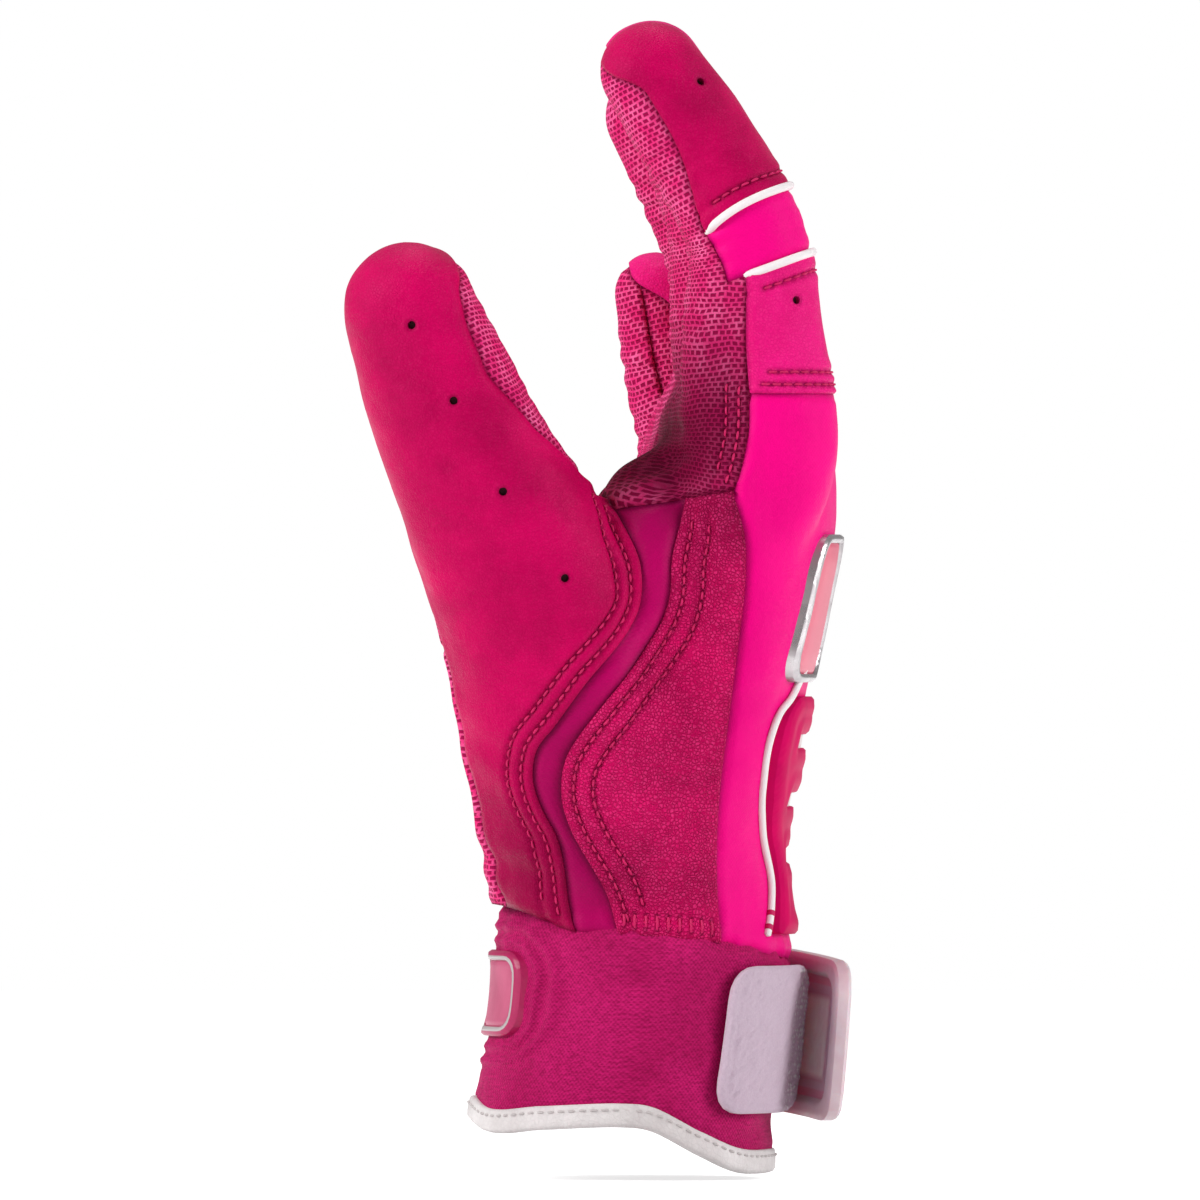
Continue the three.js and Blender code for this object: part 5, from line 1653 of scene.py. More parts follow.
# The binding's section from its outer edge round to its inner one: height and offset outward
BINDING_PROFILE = [(4.5, 0.55), (4.4, 1.0), (3.9, 1.15), (3.0, 1.2), (1.8, 1.2), (0.8, 1.1),
                   (0.25, 0.7), (0.0, 0.0), (-0.02, -0.8), (0.2, -1.6), (0.8, -2.1), (1.8, -2.2),
                   (3.2, -2.2), (4.1, -2.1), (4.4, -1.7)]


def cuff(looks):
    """The knitted sleeve with its lining, and the tape sewn round its edge"""
    edge, seam = height_line(CUFF_EDGE_SHARES), height_line(WRIST_SEAM_SHARES)
    columns = CUFF_COLUMNS
    angle = np.linspace(0, 2 * math.pi, columns, endpoint=False)
    low, high = edge_heights(angle, edge, 3.6), edge_heights(angle, seam, 2.2)

    def wall(rows, lift, inward=False):
        share = np.linspace(0, 1, rows)
        angles = np.repeat(angle, rows)
        heights = (low[:, None] + (high - low)[:, None] * share).ravel()
        points = wrist_point(angles, heights, 0.0)
        points = wrist_point(angles, heights, lift(points))
        weave = np.stack([angles * WEAVE_RADIUS, heights, np.zeros(len(angles))], -1)
        faces = grid_faces(columns, rows, closed=True)
        return points, faces[:, ::-1] if inward else faces, weave

    def outside(points):
        x, y, z = points.T
        below = seam(x) - z
        rise = 0.4 - 0.9 * (1 - smooth_step(below, -0.2, 1.8)) - 0.9 * smooth_step(-below, 0, 2)
        palm_side = smooth_step(-x, -4, 6)
        gathers = np.exp(-np.maximum(below - 1, 0) / 5)
        rise += 0.3 * gathers * ripples(y, points, 1.2, 20, 11, 8)
        rise += 0.16 * waves(points, 15, 12) + 0.25 * ripples(z, points, 1.6, 30, 13, 9.5) * (
            1 - palm_side * 0.4)
        gap = -inside_by(patch_outline(0, 5), np.stack([y, z], -1))
        for distance in (1.9, 4.6):
            rib = 0.55 * bump(gap - distance, 0.75) - 0.2 * bump(gap - distance - 1.4, 0.7)
            rise += palm_side * rib
        rise -= 0.25 * bump(z - edge(x) - 4.6, 0.7)
        return rise

    piece = Piece("cuff_sleeve", looks["cuff_knit"], looks["cuff_lining"])
    points, faces, weave = wall(CUFF_ROWS, outside)
    piece.add(points, faces, None, 0, weave)
    inner, faces, weave = wall(LINING_ROWS, lambda p: np.full(len(p), -1.5), inward=True)
    piece.add(inner, faces, None, 1, weave)
    rim = np.stack([points.reshape(columns, CUFF_ROWS, 3)[:, -1],
                    inner.reshape(columns, LINING_ROWS, 3)[:, -1]], 1).reshape(-1, 3)
    piece.add(rim, grid_faces(columns, 2, closed=True), None, 1)
    fit(piece, "cuff_knit", ["cuff"])

    profile = BINDING_PROFILE
    base = edge_heights(angle, edge, 0.0)
    rings, weave, arc = [], [], 0.0
    for k, (up, out) in enumerate(profile):
        points = wrist_point(angle, base + up, out)
        x, y = points[:, 0], points[:, 1]
        join = (y < 0) * (out > 0) * smooth_step(2.8 - x, -0.25, 0.25) * bump(x - 1.8, 3.0)
        phase = angle * WEAVE_RADIUS * 2 * math.pi / 5.2 + 2 * waves(points, 12, 14)
        ripple = 0.06 * np.sin(phase) * (out > 0)
        points = wrist_point(angle, base + up, out + 0.3 * join + ripple)
        rings.append(points)
        weave.append(np.stack([angle * WEAVE_RADIUS, np.full(columns, arc),
                               np.zeros(columns)], -1))
        after = profile[(k + 1) % len(profile)]
        arc += math.hypot(after[0] - up, after[1] - out)
    points = np.stack(rings, 1)
    points = np.concatenate([points, points[:, :1]], 1).reshape(-1, 3)
    weave = np.stack([*weave, weave[0] + [0, arc, 0]], 1).reshape(-1, 3)
    tape = Piece("cuff_tape", looks["binding_tape"], looks["thread_white"])
    faces = grid_faces(columns, len(profile) + 1, closed=True)[:, ::-1]
    tape.add(points, faces, None, 0, weave)
    line = wrist_point(angle, base + 3.3, 1.22)
    tree = border_tree(line)
    outward = line - wrist_point(angle, base + 3.3, 0.2)
    outward /= np.linalg.norm(outward, axis=1)[:, None]
    stitches(tape, np.vstack([line, line[:1]]), tree, outward, 1)
    fit(tape, "binding_tape", ["cuff_binding"])


# The closure: loop pad, hook tab and strap. Angles are 0 at the back of the wrist

STRAP = {"root": 74.0, "lift": 36.0, "end": -19.0, "thickness": 3.0, "rim": 3.2, "depth": 1.4,
         "pocket_start": 30.0, "pocket_end": -12.0, "stand_off": 10.7, "flare": 1.5, "corner": 6.0}
PAD = {"root": -4, "end": -55, "inset": 1.8, "corner": 5}
TAB = {"root": 6.0, "ramp": 12.0, "end": -58.0, "thickness": 1.3, "corner": 6.5}
CLOSURE_SHARES = {"tab_low": 0.084, "tab_high": 0.289, "strap_low": 0.09, "strap_high": 0.313,
                  "strap_drop": 0.0144}
CUFF_PROUD = 0.4


def wrist_radius():
    return mm("hand_breadth") * WRIST_RADIUS_SHARE


def on_wrist(arc, height, lift):
    """Points round the wrist at arc lengths from its back"""
    return wrist_point(arc / wrist_radius(), height, lift + CUFF_PROUD)


def strap_lift(arc, share_up):
    degrees = np.degrees(arc / wrist_radius())
    share = np.clip((STRAP["lift"] - degrees) / (STRAP["lift"] - STRAP["end"]), 0, 1)
    return 0.3 + (STRAP["stand_off"] + (1 - share_up) * STRAP["flare"]) * share**1.5


def strap_outline(inset, end, root, radius):
    """The strap laid flat: its edges drop towards its end"""
    height = mm("knuckle_height")
    degrees = np.linspace(end, root, 40)
    share = np.clip((STRAP["lift"] - degrees) / STRAP["lift"], 0, 2)
    drop = CLOSURE_SHARES["strap_drop"] * height * share
    arc = np.radians(degrees) * wrist_radius()
    low = np.stack([arc, CLOSURE_SHARES["strap_low"] * height - drop + inset], -1)
    high = np.stack([arc, CLOSURE_SHARES["strap_high"] * height - drop - inset], -1)
    for row, sign in ((low, 1), (high, -1)):
        short = np.clip(radius - (row[:, 0] - row[0, 0]), 0, radius * 0.999)
        row[:, 1] += sign * (radius - np.sqrt(radius * radius - short * short))
    return np.vstack([low, high[::-1]])


def share_up(height):
    low = CLOSURE_SHARES["strap_low"] * mm("knuckle_height")
    high = CLOSURE_SHARES["strap_high"] * mm("knuckle_height")
    return np.clip((height - low) / (high - low), 0, 1)


def arc_of(degrees):
    return math.radians(degrees) * wrist_radius()


def closure(looks):
    """The loop pad on the cuff, and the strap over it with the hook tab under its end"""
    height = mm("knuckle_height")
    tab_low, tab_high = CLOSURE_SHARES["tab_low"] * height, CLOSURE_SHARES["tab_high"] * height
    pad = rectangle((arc_of(PAD["end"]), tab_low + PAD["inset"]),
                    (arc_of(PAD["root"]), tab_high - PAD["inset"]), PAD["corner"])
    mould("closure_loop_pad", looks, "loop_tape", "loop_pad", pad, on_wrist, -0.3, 1.1, 0.8, (),
          0.4)

    def tab_base(flat, gap):
        degrees = np.degrees(flat[:, 0] / wrist_radius())
        start = strap_lift(np.full(len(flat), arc_of(TAB["root"])), share_up(flat[:, 1]))
        start = start - 0.3 - TAB["thickness"]
        return start + (1.5 - start) * smooth_step(TAB["root"] - degrees, 0, TAB["ramp"])

    def tab_top(flat, gap):
        fuzz = 0.12 * waves(flat, 1.5, 21, 24) + 0.1 * waves(flat, 4.0, 22)
        seam = 0.22 * bump(gap - 2.0, 0.5)
        return tab_base(flat, gap) + TAB["thickness"] + fuzz * smooth_step(gap, 0, 1) - seam

    tab = rectangle((arc_of(TAB["end"]), tab_low), (arc_of(TAB["root"]), tab_high),
                    TAB["corner"])
    mould("closure_hook_tab", looks, "hook_tape", "hook_tab", tab, on_wrist, tab_base, tab_top,
          0.5, (), 0.5, body="strap", bottom=True,
          shade=lambda flat, gap: smooth_step(flat[:, 0], arc_of(-14), arc_of(-10)))
    pocket = strap_outline(STRAP["rim"], STRAP["pocket_end"], STRAP["pocket_start"], 4.0)

    def base(flat):
        return strap_lift(flat[:, 0], share_up(flat[:, 1]))

    def strap_low(flat, gap):
        inside = inside_by(pocket, flat)
        ring = 0.18 * bump(inside - 3.7, 0.5)
        return base(flat) + STRAP["depth"] * smooth_step(inside, -0.25, 0.45) - ring + 0.35 * (
            1 - smooth_step(gap, 0, 0.9))

    def strap_high(flat, gap):
        return base(flat) + STRAP["thickness"] + 0.25 * smooth_step(gap, 0.5, 3)

    def strap_tone(flat, gap):
        return np.clip(inside_by(pocket, flat) / 10 + 0.5, 0, 1)

    edge = strap_outline(0, STRAP["end"], STRAP["root"], STRAP["corner"])
    mould("closure_strap", looks, "strap_rubber", "strap", edge, on_wrist, strap_low, strap_high,
          0.5, (), 0.7, body="strap", bottom=True, shade=strap_tone)


# Finishes. Colours are sRGB hex values, and pattern sizes are millimetres

SHINE = (1.0, 0.2, 0.5, 1.0)
# Painted shade: how dark its deepest colour is, and how much of the shade value is used
PAINTED_SHADE_DARK, PAINTED_SHADE_SHARE = 0.3, 0.82
STRAP_BANDS = [(0.0, "#e2d3d9"), (0.36, "#eae7e5"), (0.41, "#e0d3d9"), (0.54, "#e0d3d9"),
               (0.56, "#e0a4bb"), (0.69, "#e0a4bb"), (0.72, "#d9c0ce"), (0.84, "#d2b6c6"),
               (0.88, "#d0a3b8")]


def linear(colour):
    """An sRGB hex colour as linear values, or a linear colour as it is"""
    if not isinstance(colour, str):
        return tuple(colour)
    shares = [int(colour[i:i + 2], 16) / 255 for i in (1, 3, 5)]
    return tuple(s / 12.92 if s <= 0.04045 else ((s + 0.055) / 1.055) ** 2.4 for s in shares)


def tint(name, description, colour):
    return FloatVectorProperty(name=name, description=description, default=linear(colour),
                               subtype="COLOR", size=3, min=0, max=1)


class GloveColours(bpy.types.PropertyGroup):
    smooth_leather: tint("Smooth leather", "Fingertips and thumb back", "#cc0058")
    grip_leather: tint("Grip leather", "Palm, finger fronts and thumb front", "#e63079")
    grain_leather: tint("Grained leather", "The wrap over the heel of the palm", "#e20c66")
    # A lighter copy of the smooth leather for the finger backs that are lit brighter: painted
    # light
    base_leather: tint("Base leather", "Backs of the finger bases", "#ee1880")
    stretch_cloth: tint("Stretch cloth", "Back of the hand and knuckle gussets", "#f80086")
    gusset_cloth: tint("Strip cloth", "The strip beside the wrap", "#c00062")
    cuff: tint("Cuff", "The knitted cuff", "#ce1d6f")
    trim_pink: tint("Badge plate", "The bare plate of the badge", "#e2667f")
    panel: tint("Wrist panel", "The moulded plate with slots", "#d0085c")
    binding: tint("Binding", "The tape round the opening", "#ebe8e7")
    closure: tint("Tab", "The fuzzy tab of the closure", "#e4cddf")


def add_node(tree, kind, settings=(), out=0, **links):
    """Adds a shader node and returns one output; a link gives an input a value or a socket"""
    node = tree.nodes.new("ShaderNode" + kind)
    for name, value in dict(settings).items():
        setattr(node, name, value)
    for name, value in links.items():
        numbered = name[1:].isdigit()
        socket = node.inputs[int(name[1:]) if numbered else name.replace("_", " ")]
        if isinstance(value, bpy.types.NodeSocket):
            tree.links.new(value, socket)
        else:
            socket.default_value = value
    return node.outputs[out]


def ranged(tree, value, low, high, first=0.0, last=1.0):
    return add_node(tree, "MapRange", _0=value, _1=low, _2=high, _3=first, _4=last)


def times(tree, value, factor):
    return add_node(tree, "Math", {"operation": "MULTIPLY"}, _0=value, _1=factor)


def noise(tree, vector, scale, detail, **more):
    return add_node(tree, "TexNoise", Vector=vector, Scale=scale, Detail=detail, **more)


def mixed(tree, factor, first, second):
    """Colour between two, by a factor"""
    values = [v if isinstance(v, bpy.types.NodeSocket) else (*linear(v)[:3], 1.0)
              for v in (first, second)]
    return add_node(tree, "Mix", {"data_type": "RGBA"}, 2, _0=factor, _6=values[0], _7=values[1])


def darker(colour, share):
    return tuple(channel * share for channel in linear(colour)[:3])


def start_finish(name, roughness, ior=1.5, metallic=0.0, **sockets):
    """A material with its shader and the three values that every piece carries"""
    material = bpy.data.materials.new(name)
    material.use_nodes = True
    tree = material.node_tree
    shader = tree.nodes["Principled BSDF"]
    sockets.update(Roughness=roughness, IOR=ior, Metallic=metallic)
    for socket, value in sockets.items():
        shader.inputs[socket.replace("_", " ")].default_value = value
    outs = {"rest": "Vector", "weave": "Vector", "shade": "Fac"}
    return material, tree, *(add_node(tree, "Attribute", {"attribute_name": key}, out)
                             for key, out in outs.items())


def paint(tree, colour, deep, rest, shade, variation=0.3, size=13.0):
    """Colour with soft variation, and painted shade from the shade value: beside seams, in stitch
    holes and in hollows
    """
    spread = ranged(tree, noise(tree, rest, 1 / size, 3.0, Roughness=0.55), 0.35, 0.7, 0.0,
                    variation)
    base = mixed(tree, spread, colour, deep)
    return mixed(tree, times(tree, shade, PAINTED_SHADE_SHARE), base, darker(deep, PAINTED_SHADE_DARK))


def close_finish(material, colour, *layers, gloss=None):
    """Gives the shader its colour and one bump from layers of a height and a depth in mm"""
    tree = material.node_tree
    shader = tree.nodes["Principled BSDF"]
    tree.links.new(colour, shader.inputs["Base Color"])
    if gloss:
        tree.links.new(gloss, shader.inputs["Roughness"])
    normal = None
    for height, depth in layers:
        links = {"Normal": normal} if normal else {}
        normal = add_node(tree, "Bump", Strength=1.0, Distance=depth * METRE, Height=height,
                          **links)
    tree.links.new(normal, shader.inputs["Normal"])
    return material


def leather(name, colour, deep, pore, pore_depth, pore_tone, crease, crease_depth, roughness,
            painted_glint=None):
    """Tanned and dyed hide: small pores between raised cells, long soft creases, a dull sheen; a
    glint colour adds painted glints on the cells
    """
    material, tree, rest, _, shade = start_finish(name, roughness, 1.48, Specular_IOR_Level=0.2,
                                                Specular_Tint=SHINE)
    cells = add_node(tree, "TexVoronoi", {"feature": "DISTANCE_TO_EDGE"}, "Distance", Vector=rest,
                     Scale=1 / pore)
    raised = add_node(tree, "MapRange", {"interpolation_type": "SMOOTHSTEP"}, _0=cells, _1=0.0,
                      _2=0.22, _3=0.0, _4=1.0)
    bent = noise(tree, rest, 1 / crease, 5.0, Roughness=0.62, Distortion=0.6)
    base = paint(tree, colour, deep, rest, shade, 0.75)
    # Painted glints: the glint colour on raised cells, where a noise is high
    if painted_glint:
        both = times(tree, raised, noise(tree, rest, 1 / (2.2 * pore), 2.0))
        base = mixed(tree, ranged(tree, both, 0.25, 0.72, 0.0, 2.4 * pore_depth), base, painted_glint)
    tone = ranged(tree, raised, 0.0, 1.0, pore_tone, 0.0)
    gloss = ranged(tree, bent, 0.3, 0.7, roughness - 0.06, roughness + 0.1)
    return close_finish(material, mixed(tree, tone, base, darker(deep, 0.55)),
                        (bent, crease_depth), (raised, pore_depth), gloss=gloss)


def net_leather(name, colour, pit, light, cell):
    """Coated palm leather with a raised net in staggered rows, and small dark pits between;
    painted shade darkens both
    """
    material, tree, rest, weave, shade = start_finish(name, 0.62, 1.48, Specular_IOR_Level=0.06,
                                                    Specular_Tint=SHINE)
    warp = add_node(tree, "TexNoise", (), "Color", Vector=rest, Scale=1 / 7, Detail=2.0)
    shift = add_node(tree, "VectorMath", {"operation": "MULTIPLY_ADD"}, _0=warp, _1=(1.6, 1.6, 0),
                     _2=weave)
    rows = add_node(tree, "TexBrick", {"offset": 0.5}, "Fac", Vector=shift, Scale=1.0,
                    Mortar_Size=cell * 0.27, Mortar_Smooth=0.6, Brick_Width=cell * 1.12,
                    Row_Height=cell * 0.88)
    bent = noise(tree, rest, 1 / 4.5, 4.0, Roughness=0.6)
    net = mixed(tree, ranged(tree, bent, 0.42, 0.7, 0.0, 0.8), colour, light)
    dark = paint(tree, pit, darker(pit, 0.6), rest, shade, 0.5)
    # Painted shade over the net, from the shade value
    net = mixed(tree, times(tree, shade, 0.92), net, darker(pit, 0.4))
    return close_finish(material, mixed(tree, rows, dark, net), (bent, 0.5), (rows, 0.2))


def knit(name, colour, deep, pitch, depth, roughness, speckle=0.1, variation=0.3):
    """Stretch cloth: rows of tiny loops with uneven yarn, matt, with a soft bloom at its edges"""
    material, tree, rest, weave, shade = start_finish(
        name, roughness, 1.5, Specular_IOR_Level=0.2, Specular_Tint=SHINE, Sheen_Weight=0.12,
        Sheen_Roughness=0.5, Sheen_Tint=SHINE)
    turned = []
    for direction in ((2 * math.pi / pitch, 0, 0), (0, 2 * math.pi / pitch * 0.86, 0)):
        phase = add_node(tree, "VectorMath", {"operation": "DOT_PRODUCT"}, "Value", _0=weave,
                         _1=direction)
        turned.append(add_node(tree, "Math", {"operation": "SINE"}, _0=phase))
    drawn = add_node(tree, "VectorMath", {"operation": "MULTIPLY"}, _0=weave, _1=(0.4, 1.3, 1.0))
    yarn = noise(tree, drawn, 1.3 / pitch, 3.0, Roughness=0.6)
    uneven = add_node(tree, "Math", {"operation": "MULTIPLY_ADD"}, _0=yarn, _1=7.0,
                      _2=times(tree, *turned))
    soft = noise(tree, rest, 1 / 5, 4.0)
    hollow = ranged(tree, uneven, 2.2, 4.6, speckle, 0.0)
    base = paint(tree, colour, deep, rest, shade, variation)
    return close_finish(material, mixed(tree, hollow, base, darker(deep, 0.6)), (soft, 0.25),
                        (uneven, depth))


def pile(name, colour, deep, fibre):
    """Hook and loop tape: a mat of fine fibres that scatters light, with hooks as pale points"""
    material, tree, rest, weave, shade = start_finish(
        name, 0.9, 1.5, Specular_IOR_Level=0.2, Sheen_Weight=0.3, Sheen_Roughness=0.6)
    fuzz = noise(tree, rest, 1 / fibre, 5.0, Roughness=0.75)
    spots = add_node(tree, "TexVoronoi", (), "Distance", Vector=weave, Scale=1 / 1.1,
                     Randomness=0.5)
    hooks = times(tree, ranged(tree, spots, 0.2, 0.5, 1.0, 0.0), shade)
    base = mixed(tree, ranged(tree, fuzz, 0.35, 0.65, 0.0, 0.5), colour, deep)
    base = mixed(tree, times(tree, shade, 0.85), base, "#dcc0d6")
    return close_finish(material, mixed(tree, hooks, base, "#fbf6fb"), (fuzz, 0.5),
                        (hooks, 0.3))


def moulded(name, colour, deep, roughness, texture=0.5, depth=0.03, **sockets):
    """Moulded rubber or plastic: even colour and a fine matt skin"""
    material, tree, rest, _, shade = start_finish(name, roughness, 1.5, **sockets)
    skin = noise(tree, rest, 1 / texture, 3.0)
    return close_finish(material, paint(tree, colour, deep, rest, shade, 0.5, 8.0),
                        (skin, depth))


def bright_metal(name, colour, deep):
    """Plated trim: polished, with faint brushing and dull low spots"""
    material, tree, rest, *_ = start_finish(name, 0.26, metallic=0.85)
    wear = noise(tree, rest, 1 / 3.0, 5.0)
    return close_finish(material, mixed(tree, wear, colour, deep), (wear, 0.04),
                        gloss=ranged(tree, wear, 0.3, 0.7, 0.2, 0.42))


def banded_rubber(name, colour, line):
    """Moulded rubber with one raised line in a second colour"""
    material, tree, rest, _, shade = start_finish(name, 0.4, 1.5, Specular_IOR_Level=0.4)
    fine = noise(tree, rest, 1 / 0.6, 3.0)
    base = mixed(tree, ranged(tree, fine, 0.3, 0.7, 0.0, 0.3), colour, darker(colour, 0.6))
    base = mixed(tree, ranged(tree, shade, 0.3, 0.5), base, line)
    return close_finish(material, base, (fine, 0.03), (shade, 0.2))


def strap_rubber(name):
    """Cloudy moulded rubber with printed rings in its recess, and a soft inner glow"""
    material, tree, rest, _, shade = start_finish(name, 0.38, 1.45, Subsurface_Weight=0.25,
                                                Subsurface_Scale=0.003)
    printed = add_node(tree, "ValToRGB", _0=shade)
    stops = printed.node.color_ramp.elements
    for (place, colour), stop in zip(STRAP_BANDS, [stops[0], stops[1], *(
            stops.new(0.5) for _ in STRAP_BANDS[2:])]):
        stop.position = place
        stop.color = (*linear(colour), 1.0)
    mottle = noise(tree, rest, 1 / 2.5, 4.0)
    haze = ranged(tree, mottle, 0.3, 0.7, 0.0, 0.3)
    return close_finish(material, mixed(tree, haze, printed, "#c9a3b3"), (mottle, 0.05))


def make_looks():
    colours = bpy.context.scene.glove_colours
    thin_shine = {"Specular_IOR_Level": 0.06, "Specular_Tint": SHINE}
    return {
        # The last colour of each leather is its painted glint
        "leather_smooth": leather("smooth_leather", colours.smooth_leather, "#a00042", 0.6, 0.04,
                                  0.08, 4.5, 0.35, 0.42, "#e0307c"),
        # A lighter copy of the smooth leather: painted light
        "leather_smooth_lit": leather("base_leather", colours.base_leather, "#d80a6a", 0.6, 0.05, 0.1,
                                4.5, 0.35, 0.42, "#ff5aa4"),
        "leather_grip": net_leather("net_grip_leather", colours.grip_leather, "#a2104b",
                                    "#ff74ae", 1.15),
        "leather_grain": leather("tumbled_leather", colours.grain_leather, "#980440", 0.66, 0.16,
                                 0.3, 5.0, 0.45, 0.38, "#f0468c"),
        "stretch_cloth": knit("stretch_knit", colours.stretch_cloth, "#dc0076", 0.7, 0.015, 0.5,
                              0.05),
        "strip_cloth": knit("strip_knit", colours.gusset_cloth, "#8c0348", 0.7, 0.015, 0.45, 0.05),
        "cuff_knit": knit("cuff_knit", colours.cuff, "#a00a4c", 0.8, 0.05, 0.7, 0.7, 0.65),
        "cuff_lining": knit("cuff_lining", "#b3a7ab", "#8d8287", 1.0, 0.05, 0.85, 0.3),
        "underlay_cloth": knit("white_underlay", "#f2f0ef", "#d5d1d2", 0.8, 0.02, 0.75),
        "panel_rubber": moulded("pink_moulded_rubber", colours.panel, "#a80a4a", 0.5,
                                **thin_shine),
        "piping_white": knit("white_cord", "#f6f3f3", "#ddd6d8", 0.6, 0.012, 0.6, 0.06),
        "thread": moulded("pink_thread", "#cf1260", "#a80848", 0.55, 0.25, 0.05,
                          Specular_IOR_Level=0.3),
        "thread_white": moulded("white_thread", "#c9c3c2", "#a8a1a0", 0.6, 0.25, 0.05),
        # The sheet under the vents: painted shadow
        "vent_dark": moulded("vent_shadow", "#3d0519", "#22020d", 0.8),
        "binding_tape": leather("white_binding", colours.binding, "#c6c1c0", 1.0, 0.03, 0.08, 2.6,
                                0.3, 0.45),
        "loop_tape": pile("loop_pile", "#c76f9f", "#96406f", 0.6),
        "hook_tape": pile("hook_pile", colours.closure, "#ccb0c7", 0.45),
        "strap_rubber": strap_rubber("clear_strap_rubber"),
        "trim_silver": bright_metal("plated_rim", "#cdc8ca", "#9d989b"),
        "trim_patch": banded_rubber("patch_rubber", "#b00f57", "#b5adad"),
        "patch_pink": moulded("patch_plate_rubber", "#c4587c", "#a03058", 0.45),
        "trim_pink": moulded("pink_plate", colours.trim_pink, "#d8607c", 0.4),
    }


# The stage: a floor, three soft lamps, a white world and the photograph's camera

FLOOR_GLOW, WORLD_LIGHT = 0.73, 0.32
FLOOR_HALF, FLOOR_DROP = 2.4, 0.0012
FRAME_WIDTH, CAMERA_LENS, SENSOR = 0.2256, 800, 36
LAMP_AIM = (-0.004, 0, 0.11)
LAMPS = [("key", (-0.95, -0.5, 0.6), 0.55, 10.5), ("fill", (0.95, -0.42, 0.4), 0.6, 6.2),
         ("top", (0.0, 0.2, 1.1), 0.7, 3.0)]


def either(tree, *rays):
    """1 for the rays of either of two kinds, else 0"""
    path = add_node(tree, "LightPath").node.outputs
    return add_node(tree, "Math", {"operation": "MAXIMUM"}, _0=path[rays[0]], _1=path[rays[1]])


def studio_floor():
    """Near-white paper: it keeps the shadow, and camera rays see it bright"""
    material, tree, *_ = start_finish("studio_paper", 0.9)
    shader = tree.nodes["Principled BSDF"]
    shader.inputs["Base Color"].default_value = (*linear("#f4f4f4"), 1.0)
    glow = times(tree, either(tree, "Is Camera Ray", "Is Glossy Ray"), FLOOR_GLOW)
    shader.inputs["Emission Color"].default_value = (1, 1, 1, 1)
    tree.links.new(glow, shader.inputs["Emission Strength"])
    return material


def stage():
    scene = bpy.context.scene
    scene.view_settings.view_transform = "Standard"
    corners = [(-FLOOR_HALF, -FLOOR_HALF, 0), (FLOOR_HALF, -FLOOR_HALF, 0),
               (FLOOR_HALF, FLOOR_HALF, 0), (-FLOOR_HALF, FLOOR_HALF, 0)]
    mesh = plain_mesh("studio_floor", corners, [(0, 1, 2, 3)])
    mesh.materials.append(studio_floor())
    floor = bpy.data.objects.new("studio_floor", mesh)
    floor.location = (0, 0, -FLOOR_DROP)
    scene.collection.objects.link(floor)
    scene.world = bpy.data.worlds.new("studio")
    scene.world.use_nodes = True
    tree = scene.world.node_tree
    seen = either(tree, "Is Camera Ray", "Is Transmission Ray")
    background = tree.nodes["Background"]
    tree.links.new(ranged(tree, seen, 0.0, 1.0, WORLD_LIGHT, 1.0), background.inputs["Strength"])
    background.inputs["Color"].default_value = (1, 1, 1, 1)
    for name, place, size, power in LAMPS:
        light = bpy.data.lights.new(f"studio_{name}", "AREA")
        light.shape, light.size, light.energy = "DISK", size, power
        lamp = bpy.data.objects.new(light.name, light)
        lamp.location = place
        way = Vector(LAMP_AIM) - Vector(place)
        lamp.rotation_euler = way.to_track_quat("-Z", "Y").to_euler()
        scene.collection.objects.link(lamp)
    camera = bpy.data.objects.new("camera", bpy.data.cameras.new("camera"))
    camera.data.lens, camera.data.sensor_width = CAMERA_LENS, SENSOR
    camera.location = (-0.0041, -FRAME_WIDTH * CAMERA_LENS / SENSOR, 0.1075)
    camera.rotation_euler = (math.pi / 2, 0, 0)
    scene.collection.objects.link(camera)
    scene.camera = camera


# Operators: one for each group of pieces

bench = {}


def prepared():
    """The sewn skin, the digits and the finishes, made once and shared by the operators"""
    if not bench:
        fingers, thumb = make_fingers(), make_thumb()
        skin = sewn_skin(fingers, thumb)
        bench.update(fingers=fingers, thumb=thumb, looks=make_looks(), skin=skin)
    return bench


class GLOVE_OT_panels(bpy.types.Operator):
    """Sews the leather and cloth panels of the hand, fingers and thumb"""

    bl_idname = "glove.panels"
    bl_label = "Panels"

    def execute(self, context):
        parts = prepared()
        skin_pieces(parts["skin"], parts["fingers"], parts["thumb"], parts["looks"])
        return {"FINISHED"}


class GLOVE_OT_finger_cords(bpy.types.Operator):
    """Lays the white cords over each knuckle gusset"""

    bl_idname = "glove.finger_cords"
    bl_label = "Finger cords"

    def execute(self, context):
        parts = prepared()
        finger_pipings(parts["skin"], parts["fingers"], parts["looks"])
        return {"FINISHED"}


class GLOVE_OT_wrist_panel(bpy.types.Operator):
    """Sets the slotted plate, its white cloth and its two cords on the back of the hand"""

    bl_idname = "glove.wrist_panel"
    bl_label = "Wrist panel"

    def execute(self, context):
        wrist_panel(prepared()["looks"])
        return {"FINISHED"}


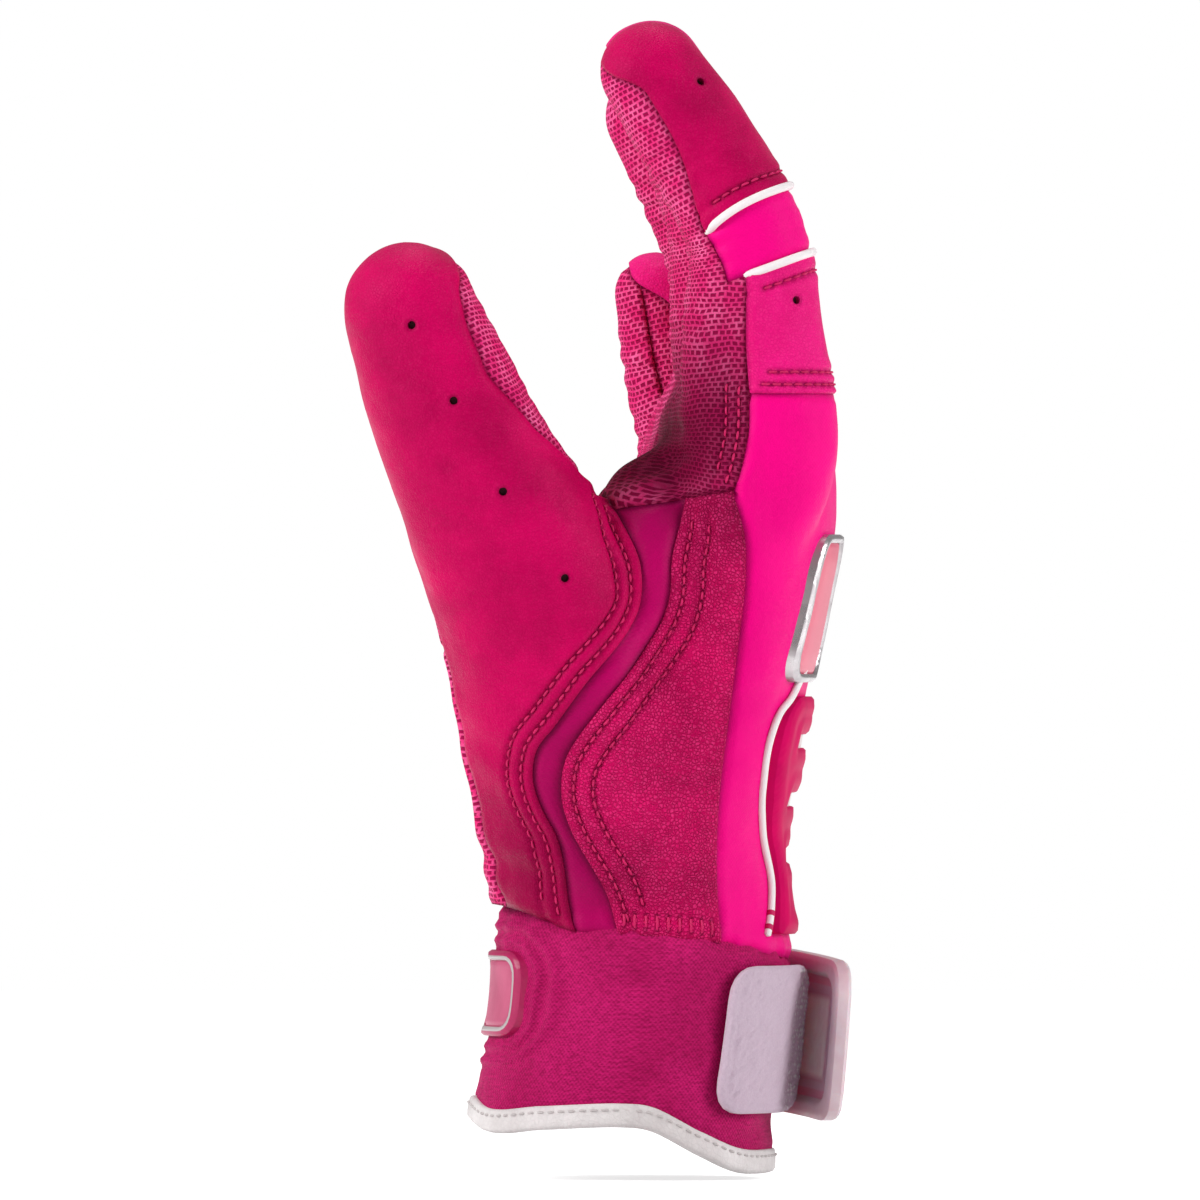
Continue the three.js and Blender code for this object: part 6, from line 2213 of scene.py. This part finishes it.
class GLOVE_OT_badges(bpy.types.Operator):
    """Sets the bare badge and patch in their rims"""

    bl_idname = "glove.badges"
    bl_label = "Badge and patch"

    def execute(self, context):
        badge(prepared()["looks"])
        patch(prepared()["looks"])
        return {"FINISHED"}


class GLOVE_OT_cuff(bpy.types.Operator):
    """Knits the cuff and binds its edge"""

    bl_idname = "glove.cuff"
    bl_label = "Cuff"

    def execute(self, context):
        cuff(prepared()["looks"])
        return {"FINISHED"}


class GLOVE_OT_closure(bpy.types.Operator):
    """Fits the loop pad, the strap and its hook tab"""

    bl_idname = "glove.closure"
    bl_label = "Closure"

    def execute(self, context):
        closure(prepared()["looks"])
        return {"FINISHED"}


class GLOVE_OT_stage(bpy.types.Operator):
    """Sets the floor, the lamps, the world and the camera"""

    bl_idname = "glove.stage"
    bl_label = "Stage"

    def execute(self, context):
        stage()
        return {"FINISHED"}


OPERATORS = (GLOVE_OT_panels, GLOVE_OT_finger_cords, GLOVE_OT_wrist_panel, GLOVE_OT_badges,
             GLOVE_OT_cuff, GLOVE_OT_closure, GLOVE_OT_stage)


class GLOVE_PT_panel(bpy.types.Panel):
    """Sizes, colours and steps of the glove"""

    bl_idname = "GLOVE_PT_panel"
    bl_label = "Batting glove"
    bl_space_type = "VIEW_3D"
    bl_region_type = "UI"
    bl_category = "Glove"

    def draw(self, context):
        for group in (context.scene.glove_sizes, context.scene.glove_colours):
            for name in group.__annotations__:
                self.layout.prop(group, name)
        for operator in OPERATORS:
            self.layout.operator(operator.bl_idname)


CLASSES = (GloveSizes, GloveColours, *OPERATORS, GLOVE_PT_panel)


def register():
    for item in CLASSES:
        bpy.utils.register_class(item)
    bpy.types.Scene.glove_sizes = PointerProperty(type=GloveSizes)
    bpy.types.Scene.glove_colours = PointerProperty(type=GloveColours)


def unregister():
    del bpy.types.Scene.glove_colours
    del bpy.types.Scene.glove_sizes
    for item in reversed(CLASSES):
        bpy.utils.unregister_class(item)


def main():
    register()
    for operator in (bpy.ops.glove.panels, bpy.ops.glove.finger_cords, bpy.ops.glove.wrist_panel,
                     bpy.ops.glove.badges, bpy.ops.glove.cuff, bpy.ops.glove.closure,
                     bpy.ops.glove.stage):
        operator()


if __name__ == "__main__":
    main()
